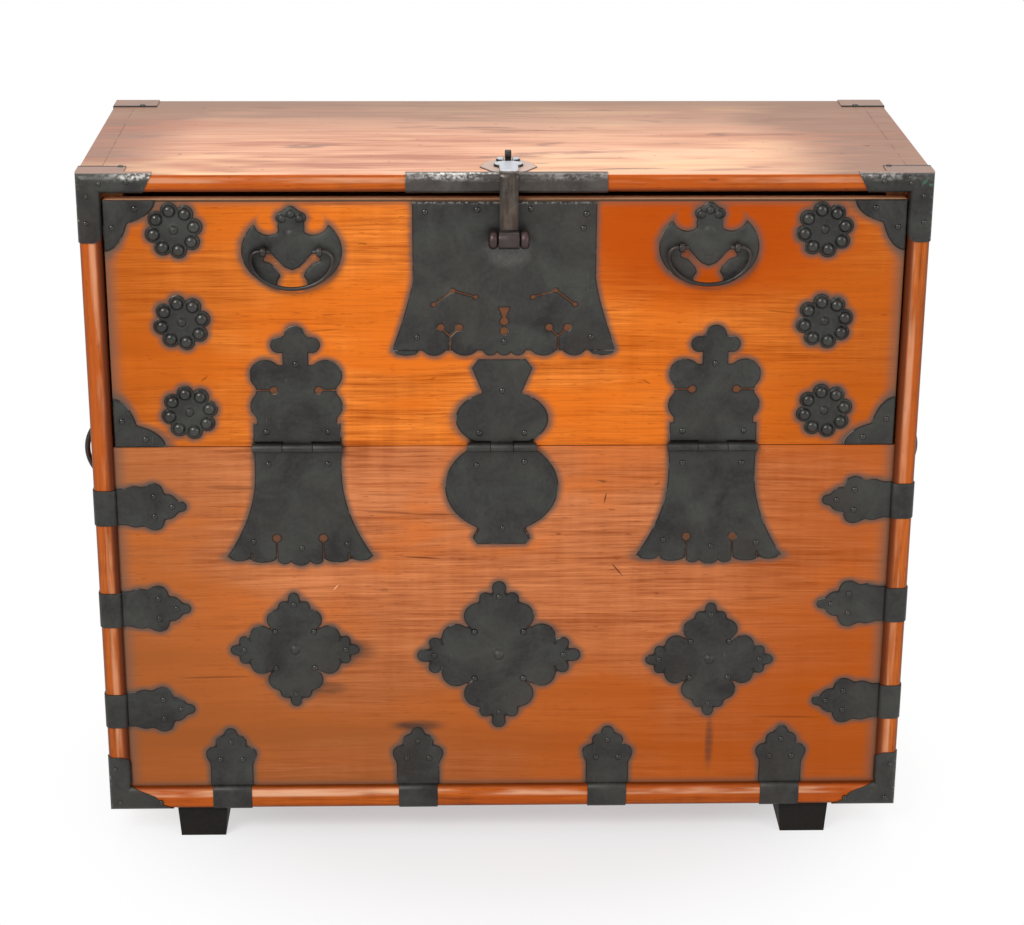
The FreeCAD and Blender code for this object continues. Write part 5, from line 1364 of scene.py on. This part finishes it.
def hasp_strap(form):
    """The strap's crowned section is carried up from the barrel and over a quarter bend onto the top."""
    back = EDGE_Y - SHEET - MOVING_GAP
    front_y = back - STRAP_T
    top = TOP_HI.z + SHEET + LIFT + ARM_T
    t = np.linspace(0, math.pi / 2, BEND_STEPS)
    rise = np.linspace(HASP_AXIS[2], top - HASP_BEND, RISE_STEPS)
    up_line = np.stack([np.full(RISE_STEPS, front_y), rise], -1)
    bend = np.stack([front_y + HASP_BEND * (1 - np.cos(t)), top - HASP_BEND + HASP_BEND * np.sin(t)], -1)[1:]
    level = np.stack([np.linspace(front_y + HASP_BEND, EDGE_Y + TAIL_START + 2 * MM, 10), np.full(10, top)], -1)[1:]
    line = np.concatenate([up_line, bend, level])
    along = headings(line)
    inward = np.stack([along[:, 1], -along[:, 0]], -1)
    progress = np.clip((np.arange(len(line)) - RISE_STEPS) / BEND_STEPS, 0, 1)
    thick = STRAP_T + (ARM_T - STRAP_T) * progress
    crown = (STRAP_T * 0.5) * (1 - progress) + 0.5 * MM * progress
    share = np.linspace(-1, 1, WIDTH_STEPS)
    outer = crown[:, None] * (1 - np.sqrt(1 - 0.92 * share[None, :] ** 2))
    inner = np.repeat(thick[:, None], WIDTH_STEPS, axis=1)
    depth = np.concatenate([outer, inner], axis=1)
    x = HASP_AXIS[0] + STRAP_W / 2 * np.concatenate([share, share[::-1]])
    place = line[:, None] + inward[:, None] * depth[..., None]
    points = np.stack([np.broadcast_to(x, depth.shape), place[..., 0], place[..., 1]], -1)
    form.grid(points[:, ::-1], closed_rows=True, caps=True)


form = Form()
hasp_strap(form)
turned(form, HASP_AXIS, RIGHT, drum_profile(BARREL_W / 2, BARREL_R, 1.0 * MM))
cut_sheet(form, hasp_tail, (-EAR_HALF, EAR_HALF, 6 * MM, TAIL_END),
          Place((HASP_AXIS[0], EDGE_Y, TOP_HI.z + SHEET + LIFT), RIGHT, BACKWARD), relief=tail_relief)
form.piece("hasp_forged", "hasp_body", "forged_iron", HASP_IRON, ["hasp"])

form = Form()
for s in (-1, 1):
    centre = HASP_AXIS + RIGHT * s * (BARREL_W / 2 + MOVING_GAP + LOCK_RING_W / 2)
    turned(form, centre, RIGHT, drum_profile(LOCK_RING_W / 2, BARREL_R, LOCK_BORE_R))
    seat = np.array([centre[0], FACE_Y - SHEET * 0.6, centre[2]])
    tube(form, [centre + BACKWARD * BARREL_R * 0.7, seat], LOCK_SHANK_R, RIGHT)
form.piece("lock_rings", "door", "forged_iron", RING_IRON, ["lock_eyes"])

WING_SHARES = ((-0.40, 0.0), (0.40, 0.0), (0.62, 0.06), (1.0, 0.36), (0.86, 0.62), (0.55, 0.80), (0.30, 1.0),
               (-0.30, 1.0))
REST_HALF, REST_DEEP = mm(31, 66)


def rest_wings(u, v):
    """A butterfly plate with its hole for the staple."""
    body = outline(np.abs(u), v, [(REST_HALF * a, REST_DEEP * b) for a, b in WING_SHARES])
    return cut(body, block(u, v, -STAPLE_W / 2, STAPLE_W / 2, STAPLE_Y - OUTER_ROUND - STAPLE_R,
                           STAPLE_Y - OUTER_ROUND + STAPLE_R))


form = Form()
cut_sheet(form, rest_wings, (-REST_HALF, REST_HALF, 0, REST_DEEP),
          Place((HASP_AXIS[0], EDGE_Y + OUTER_ROUND, TOP_HI.z), RIGHT, BACKWARD))
form.piece("hasp_rest_wings", "carcass", "sheet_iron", REST_IRON, ["hasp_rest_plate"])

form = Form()
head = np.array([HASP_AXIS[0], EDGE_Y + STAPLE_Y, TOP_HI.z + STAPLE_RISE])
turned(form, head, RIGHT, drum_profile(STAPLE_W / 2, STAPLE_R, 1.0 * MM, STAPLE_HOLE_R))
tube(form, [head - UP * STAPLE_RISE, head - UP * STAPLE_R * 0.8], STAPLE_SHANK_R, RIGHT)
form.piece("staple_forged", "carcass", "forged_iron", FORGED_IRON, ["hasp_staple"])


# Nails in the corner irons
FRONT_SPOTS = mm((433, 747), (404, 749), (447, 733), (449, 704), (450, 53), (399, 10), (446, 10))
form = Form()
for s in (-1, 1):
    nails(form, front(0, BASE_Z, EDGE_Y), [(s * u, v) for u, v in FRONT_SPOTS], CORNER_NAIL_R)
    nails(form, Place((0, EDGE_Y, TOP_Z), RIGHT, BACKWARD),
          [(s * 413 * MM, TOP_IRON_DEEP - 4 * MM), (s * 424 * MM, DEPTH - TOP_IRON_DEEP + 4 * MM)])
form.piece("corner_iron_nails", "carcass", "sheet_iron", PLATE_IRON)


# Boards with stained faces and painted shade

# The three hinge rolls, as middle and half length, for the painted shadow that blackens the wood behind them
KNUCKLE_SHADOWS = [(middle_of("hinge_%s_upper" % side)[0], half - 2 * MM)
                for side, half in (("left", KNUCKLE_HALF), ("middle", VASE_KNUCKLE_HALF), ("right", KNUCKLE_HALF))]


def smooth_step(value, low, high):
    """0 at low, 1 at high: three times the square less twice the cube of the share between them."""
    t = np.clip((value - low) / (high - low), 0, 1)
    return t * t * (3 - 2 * t)


def near_irons(x, z, outlines, smears):
    """Three marks: a halo that falls to 0 at the stain's reach from the nearest plate, oval smears, and 1 well
    under a plate."""
    nearest = np.full(x.shape, 1.0)
    for field, cx, cz in outlines:
        nearest = np.minimum(nearest, field(x - cx, z - cz, False))
    halo = 1 - smooth_step(nearest, -2 * MM, STAIN_REACH)
    smear = np.zeros(x.shape)
    for cx, cz, half_x, half_z, depth in smears:
        reach = np.hypot((x - cx) / half_x, (z - cz) / half_z)
        smear = np.maximum(smear, depth * (1 - smooth_step(reach, 0.35, 1.0)))
    under = smooth_step(-nearest, 1.5 * MM, 4 * MM)
    return halo * (1 - under), smear * (1 - under), under


def stained_shaded_board(name, body, node, slot, material, low, high, open_top, smears=()):
    """A board whose front is a fine grid with edges rounded by wear. Its stain marks lie round the irons and,
    weaker, painted shade lies along the frame's edge; painted shadow blackens the wood behind the hinge rolls."""
    form = Form()
    width, height, thick = high.x - low.x, high.z - low.z, high.y - low.y

    def relief(u, v, depth):
        return thick - edge_drop(depth, BOARD_EDGE) * BOARD_EDGE_SHARE

    def field(u, v, pierced=True):
        return block(u, v, 0, width, 0, height)

    def marks(u, v):
        x, z = u + low.x, v + low.z
        halo, smear, under = near_irons(x, z, stains[body], smears)
        # Painted shade: darker toward the board's ends by the posts and along the rail
        ends = np.minimum(x - low.x, high.x - x)
        grime = 0.85 * (1 - smooth_step(ends, -2 * MM, CORNER_SHADE_REACH))
        rail = (high.z - z) if open_top else (z - low.z)
        grime = np.maximum(grime, 0.70 * (1 - smooth_step(rail, 0, CORNER_SHADE_REACH * 0.5)))
        # Painted shadow: the wood behind the hinge rolls is made black
        gap = np.zeros(x.shape)
        for middle, half in KNUCKLE_SHADOWS:
            beyond = np.maximum(np.abs(x - middle) - half, np.abs(z - AXIS[2]) - KNUCKLE_R * 2.2)
            gap = np.maximum(gap, 1 - smooth_step(beyond, -1 * MM, 2 * MM))
        grime = grime * (1 - under)
        return {"edge": 0 * x, **dict(zip(STAIN_AND_SHADE_MARKS, (halo, grime, smear, under, gap)))}

    place = Place((low.x, high.y, low.z), RIGHT, UP)
    cut_sheet(form, field, (0, width, 0, height), place, BOARD_STEP, relief, marks)
    form.piece(name, body, slot, material, [node])


# Smears on the panel near the left diamond, a drip and a bar: x, z, half width, half height and depth
SMEARS = ((-0.172, 0.236, 0.034, 0.020, 0.55), (-0.205, 0.190, 0.036, 0.012, 0.5),
          (0.238, 0.118, 0.006, 0.046, 0.6), (-0.100, 0.142, 0.040, 0.009, 0.8), (0.03, 0.262, 0.05, 0.008, 0.35),
          (-0.258, 0.204, 0.030, 0.010, 0.4))

stained_shaded_board("door_face_board", "door", "door_board", "door_wood", DOOR_WOOD, DOOR_LO, DOOR_HI, True)
stained_shaded_board("lower_face_panel", "carcass", "front_panel", "panel_wood", PANEL_WOOD, PANEL_LO, PANEL_HI, False,
              SMEARS)


# CAD nodes that keep their shape
KEPT = ((RAIL_WOOD, "top_board bottom_board"), (POST_WOOD, "side_board_left side_board_right"),
        (RAW_WOOD, "back_plank_lower back_plank_middle back_plank_upper"), (FOOT_WOOD, "runner_left runner_right"),
        (STOP_WOOD, "door_stop_left door_stop_right"), (SHEATH_IRON, "top_edge_sheath"),
        (FRAME_IRON, "corner_iron_top_left corner_iron_top_right corner_iron_bottom_left "
                     "corner_iron_bottom_right rear_corner_irons"))
for material, nodes in KEPT:
    for node in nodes.split():
        mesh = frame["nodes"][node].data
        mesh.materials.clear()
        mesh.materials.append(material)


# Floor, light and camera
NEAR_WHITE = 0.50


def floor_paint():
    """Pale matt floor that turns plain white away from the chest for the camera, metal and glass."""
    paint = Paint("pale_floor")
    paint.set(Base_Color=(0.86, 0.88, 0.92), Roughness=0.9, Specular_IOR_Level=0.1)
    away = paint.node("ShaderNodeVectorMath", {"operation": "LENGTH"}, {0: paint.place}, "Value").ramp(0.25, 0.58)
    away = away * (1 - NEAR_WHITE) + NEAR_WHITE
    rays, gloss, clear = (paint.node("ShaderNodeLightPath", {}, {}, "Is %s Ray" % kind)
                          for kind in ("Camera", "Glossy", "Transmission"))
    seen = (rays + gloss + clear).clamp()
    white = paint.node("ShaderNodeEmission", {}, {"Color": (1.0, 1.0, 1.0), "Strength": 1.0})
    matt = Value(paint, paint.shader.outputs[0])
    mixed = paint.node("ShaderNodeMixShader", {}, {0: away * seen, 1: matt, 2: white})
    paint.feed(paint.output.inputs["Surface"], mixed)
    return paint.material


FLOOR_SIZE = 40.0
floor_mesh = bpy.data.meshes.new("floor")
half = FLOOR_SIZE / 2
floor_mesh.from_pydata([(-half, -half, 0), (half, -half, 0), (half, half, 0), (-half, half, 0)], [], [(0, 1, 2, 3)])
floor_mesh.materials.append(floor_paint())
floor = bpy.data.objects.new("floor", floor_mesh)
bpy.context.scene.collection.objects.link(floor)

WORLD_FILL = 0.55
world = bpy.data.worlds.new("studio")
bpy.context.scene.world = world
world.use_nodes = True
tree = world.node_tree
rays = tree.nodes.new("ShaderNodeLightPath")
fill = tree.nodes["Background"]
fill.inputs["Strength"].default_value = WORLD_FILL
fill.inputs["Color"].default_value = (1.0, 1.0, 1.0, 1.0)
white = tree.nodes.new("ShaderNodeBackground")
white.inputs["Strength"].default_value = 1.0
seen = tree.nodes.new("ShaderNodeMath")
seen.operation = "MAXIMUM"
tree.links.new(rays.outputs["Is Camera Ray"], seen.inputs[0])
tree.links.new(rays.outputs["Is Glossy Ray"], seen.inputs[1])
mix = tree.nodes.new("ShaderNodeMixShader")
tree.links.new(seen.outputs[0], mix.inputs[0])
tree.links.new(fill.outputs[0], mix.inputs[1])
tree.links.new(white.outputs[0], mix.inputs[2])
tree.links.new(mix.outputs[0], tree.nodes["World Output"].inputs["Surface"])


def soft_box(name, spot, aim, width, height, power):
    """A rectangular lamp turned to its aim."""
    lamp = bpy.data.lights.new(name, "AREA")
    lamp.shape = "RECTANGLE"
    lamp.size, lamp.size_y, lamp.energy = width, height, power
    made = bpy.data.objects.new(name, lamp)
    made.location = spot
    made.rotation_mode = "QUATERNION"
    made.rotation_quaternion = (Vector(aim) - Vector(spot)).to_track_quat("-Z", "Y")
    bpy.context.scene.collection.objects.link(made)


CHEST_MIDDLE = (0.0, 0.0, 0.42)
soft_box("key_light", (-1.9, -2.8, 3.0), CHEST_MIDDLE, 1.6, 1.6, 95)
soft_box("ceiling_light", (0.2, 0.9, 3.2), CHEST_MIDDLE, 3.0, 2.0, 52)
soft_box("side_light", (2.6, -2.2, 1.6), CHEST_MIDDLE, 1.4, 1.8, 22)

# Camera solved from the corners of the front, the top and the feet
CAMERA_PLACE = (-0.0621, -2.7548, 1.4263)
CAMERA_PITCH, CAMERA_YAW, CAMERA_ROLL = 20.38, 1.54, 0.31
CAMERA_LENS, CAMERA_SENSOR = 87.2, 36.0


def aim_camera():
    """The ahead direction is turned right by the yaw and down by the pitch, then all is rolled about it."""
    pitch, yaw, roll = (math.radians(a) for a in (CAMERA_PITCH, CAMERA_YAW, CAMERA_ROLL))
    ahead = Vector((math.sin(yaw) * math.cos(pitch), math.cos(yaw) * math.cos(pitch), -math.sin(pitch)))
    level = Vector((math.cos(yaw), -math.sin(yaw), 0))
    above = level.cross(ahead)
    right = level * math.cos(roll) + above * math.sin(roll)
    above = above * math.cos(roll) - level * math.sin(roll)
    lens = bpy.data.cameras.new("camera")
    lens.lens, lens.sensor_width = CAMERA_LENS, CAMERA_SENSOR
    made = bpy.data.objects.new("camera", lens)
    made.matrix_world = Matrix((
        (right.x, above.x, -ahead.x, CAMERA_PLACE[0]), (right.y, above.y, -ahead.y, CAMERA_PLACE[1]),
        (right.z, above.z, -ahead.z, CAMERA_PLACE[2]), (0, 0, 0, 1)))
    bpy.context.scene.collection.objects.link(made)
    bpy.context.scene.camera = made


aim_camera()
bpy.context.scene.view_settings.view_transform = "Standard"

bpy.context.view_layer.update()
